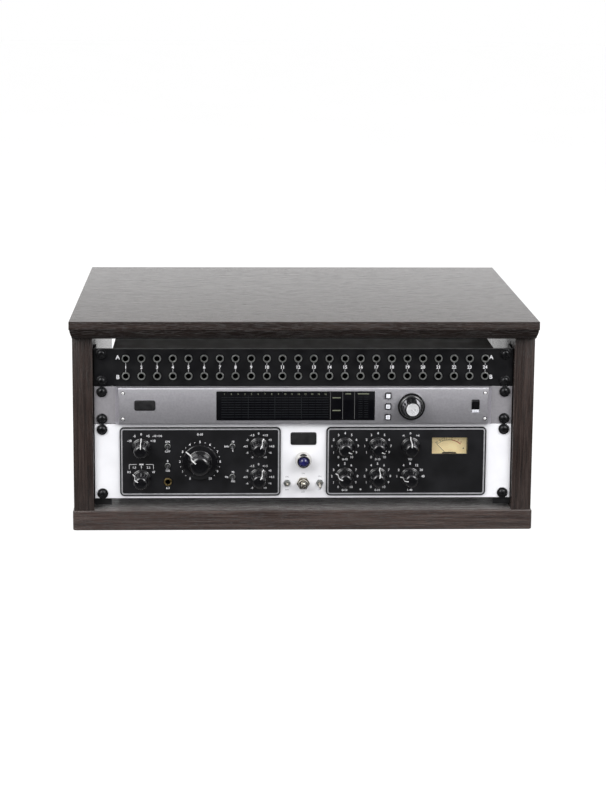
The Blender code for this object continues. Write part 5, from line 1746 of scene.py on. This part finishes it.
# %% Dial numbers
bm = bmesh.new()
gains = [(-60, "-10"), (-30, "-5"), (0, "0"), (30, "+5"), (60, "+10")]
ring_of(bm, "gain_knob", gains, 15.6 * mm, numeral)
beside(bm, pivots["gain_knob"], 18.5 * mm, 13.6 * mm, "-10 +10")
cuts = [(-150, "-9"), (-120, "-6"), (-90, "-4.5"), (-60, "-3"), (-30, "-1.5"), (0, "0"),
        (30, "+1.5"), (60, "+3"), (90, "+4.5"), (120, "+6"), (150, "+9")]
for name in ("high_eq_knob", "low_eq_knob"):
    ring_of(bm, name, cuts, 15.2 * mm, small_numeral)
times = [(30 * i - 120, str(i)) for i in range(1, 8)]
times += [(-120, "1"), (120, "9"), (-150, "0"), (150, "10")]
for name in ("attack_knob", "release_knob"):
    ring_of(bm, name, times, 15.2 * mm, numeral)
    beside(bm, pivots[name], 0, -15.7 * mm, "0-10")
for name in ("compressor_input_knob", "compressor_output_knob"):
    ring_of(bm, name, tens, 15.0 * mm, numeral)
    beside(bm, pivots[name], 0, -16.6 * mm, "0-10")
ratios = [(-90, "1"), (-60, "2"), (-30, "4"), (0, "8"), (30, "12"), (60, "20"), (90, "40")]
ring_of(bm, "ratio_knob", ratios, 15.2 * mm, numeral)
beside(bm, pivots["ratio_knob"], 0, -16.4 * mm, "1-40")
ring_of(bm, "meter_select_knob", [(-34, "-4"), (0, "0"), (34, "+4")], 15.0 * mm, 2.5 * mm)
beside(bm, pivots["meter_select_knob"], 0, -15.9 * mm, "VU")
piece("dial_numbers", bm, [print_white])

# %% [markdown]
# The large level dial alternates numbers and dots. The dots come from a tree of their own: the
# smallest one here, a disc on each point. One larger dot lies alone on the right plate.


# %% Level dial print
def dot_tree(name, finish):
    """A tree for printed dots: a flat disc on each point."""
    tree, sizes = geometry_tree(name, {"Dot Radius": 0.5 * mm, "Dot Height": 0.1 * mm})
    disc = node(tree, "GeometryNodeMeshCylinder", {"Vertices": 12, "Radius": sizes["Dot Radius"],
                                                   "Depth": sizes["Dot Height"]}).outputs["Mesh"]
    return spread_on_points(tree, sizes["Points"], finished(tree, disc, finish))


level = pivots["level_knob"]
level_radius = 23.3 * mm
bm = bmesh.new()
ring_of(bm, "level_knob", tens, level_radius, numeral)
beside(bm, level, 0, 32.4 * mm, "0-10", 2.6 * mm)
piece("level_dial_numbers", bm, [print_white])
between = [math.radians(30 * i - 135) for i in range(10)]
dots = [(level.x + level_radius * math.sin(turn), plate_front, level.z + level_radius * math.cos(turn))
        for turn in between]
white_dot_tree = dot_tree("level_dots", print_white)
settle("level_dial_dots", grow("level_dial_dots", white_dot_tree, dots))
lone_dot = [(66.7 * mm, plate_front, strip_z - 33.5 * mm)]
settle("plate_dot", grow("plate_dot", white_dot_tree, lone_dot, dot_radius=1.1 * mm))

# %% [markdown]
# The input selector has brackets that group its five places, and the toggles have a sign above
# and one below. These are strokes and plain numbers again, laid out about each control's pivot.

# %% Brackets and toggle print
bm = bmesh.new()
selector = pivots["input_select_knob"]
bracket_top = 16.9 * mm
top_z = selector.z + bracket_top
thin = 0.5 * mm
for side, group, end in ((-1, "1.5", "0.5"), (1, "2.2", "47")):
    outer_x, inner_x = selector.x + side * 14.0 * mm, selector.x + side * 5.4 * mm
    stroke(bm, outer_x, top_z, outer_x, top_z - 5.6 * mm, thin, plate_front)
    stroke(bm, outer_x, top_z, inner_x, top_z, thin, plate_front)
    beside(bm, selector, side * 8.2 * mm, bracket_top - 3.8 * mm, group)
    beside(bm, selector, side * 14.2 * mm, bracket_top - 9.2 * mm, end)
stroke(bm, selector.x - 2.4 * mm, top_z, selector.x + 2.4 * mm, top_z, 1.5 * mm, plate_front)
stroke(bm, selector.x, top_z, selector.x, selector.z + 12.2 * mm, 0.7 * mm, plate_front)
for name, above, below in (("phantom_toggle", "ON", "OFF"), ("polarity_toggle", "0", "180")):
    beside(bm, pivots[name], 0, 5.3 * mm, above)
    beside(bm, pivots[name], 0, -6.2 * mm, below)
for name, above, below, unit in (("high_frequency_toggle", "10", "5", "kHz"),
                                 ("low_frequency_toggle", "70", "100", "Hz")):
    beside(bm, pivots[name], 0.6 * mm, 5.2 * mm, above)
    beside(bm, pivots[name], 0.6 * mm, -5.6 * mm, below)
    beside(bm, pivots[name], -6.6 * mm, -0.4 * mm, unit, 2.3 * mm)
beside(bm, instrument_mid, 0, -7.6 * mm, "6.3")
piece("control_print", bm, [print_white])

# %% [markdown]
# The switches on the pale panel have a small dark ON above and OFF below. The second badge lies
# above the lamp.

# %% Panel print and badge
bm = bmesh.new()
for place, above, below in [(pivots[name], 7.4 * mm, 8.2 * mm) for name in panel_toggles] + [
        (power, 11.4 * mm, 11.0 * mm)]:
    printed(bm, "ON", place.x, place.z + above, 1.7 * mm, panel_front, weight=0.01)
    printed(bm, "OFF", place.x, place.z - below, 1.7 * mm, panel_front, weight=0.01)
piece("panel_print", bm, [print_dark])
badge("strip_badge", 0.0, strip_z + 26.9 * mm, 30 * mm, 15 * mm, panel_front)

# %% [markdown]
# The nodes whose shape is already right keep it and only get their finish: the rails, the sheet
# metal boxes, the meter's case and what lies inside.

# %% Finishes for the nodes that stay
kept = {
    "left_rack_rail": rail_steel, "right_rack_rail": rail_steel, "patchbay_chassis": chassis_paint,
    "interface_chassis": chassis_steel, "strip_chassis": chassis_steel, "meter_case": soft_black,
    "strip_control_board": board_green, "interface_control_board": board_green,
    "power_transformer": transformer_tape,
}
for name, finish in kept.items():
    mesh = frame["nodes"][name].data
    mesh.materials.clear()
    mesh.materials.append(finish)
plain = [name for name, made in frame["nodes"].items() if not made.hide_render and name not in kept]
print("nodes that stay:", len(kept), "without a finish:", plain)

# %% [markdown]
# The last cell only loads the json module.

# %% The json module
import json
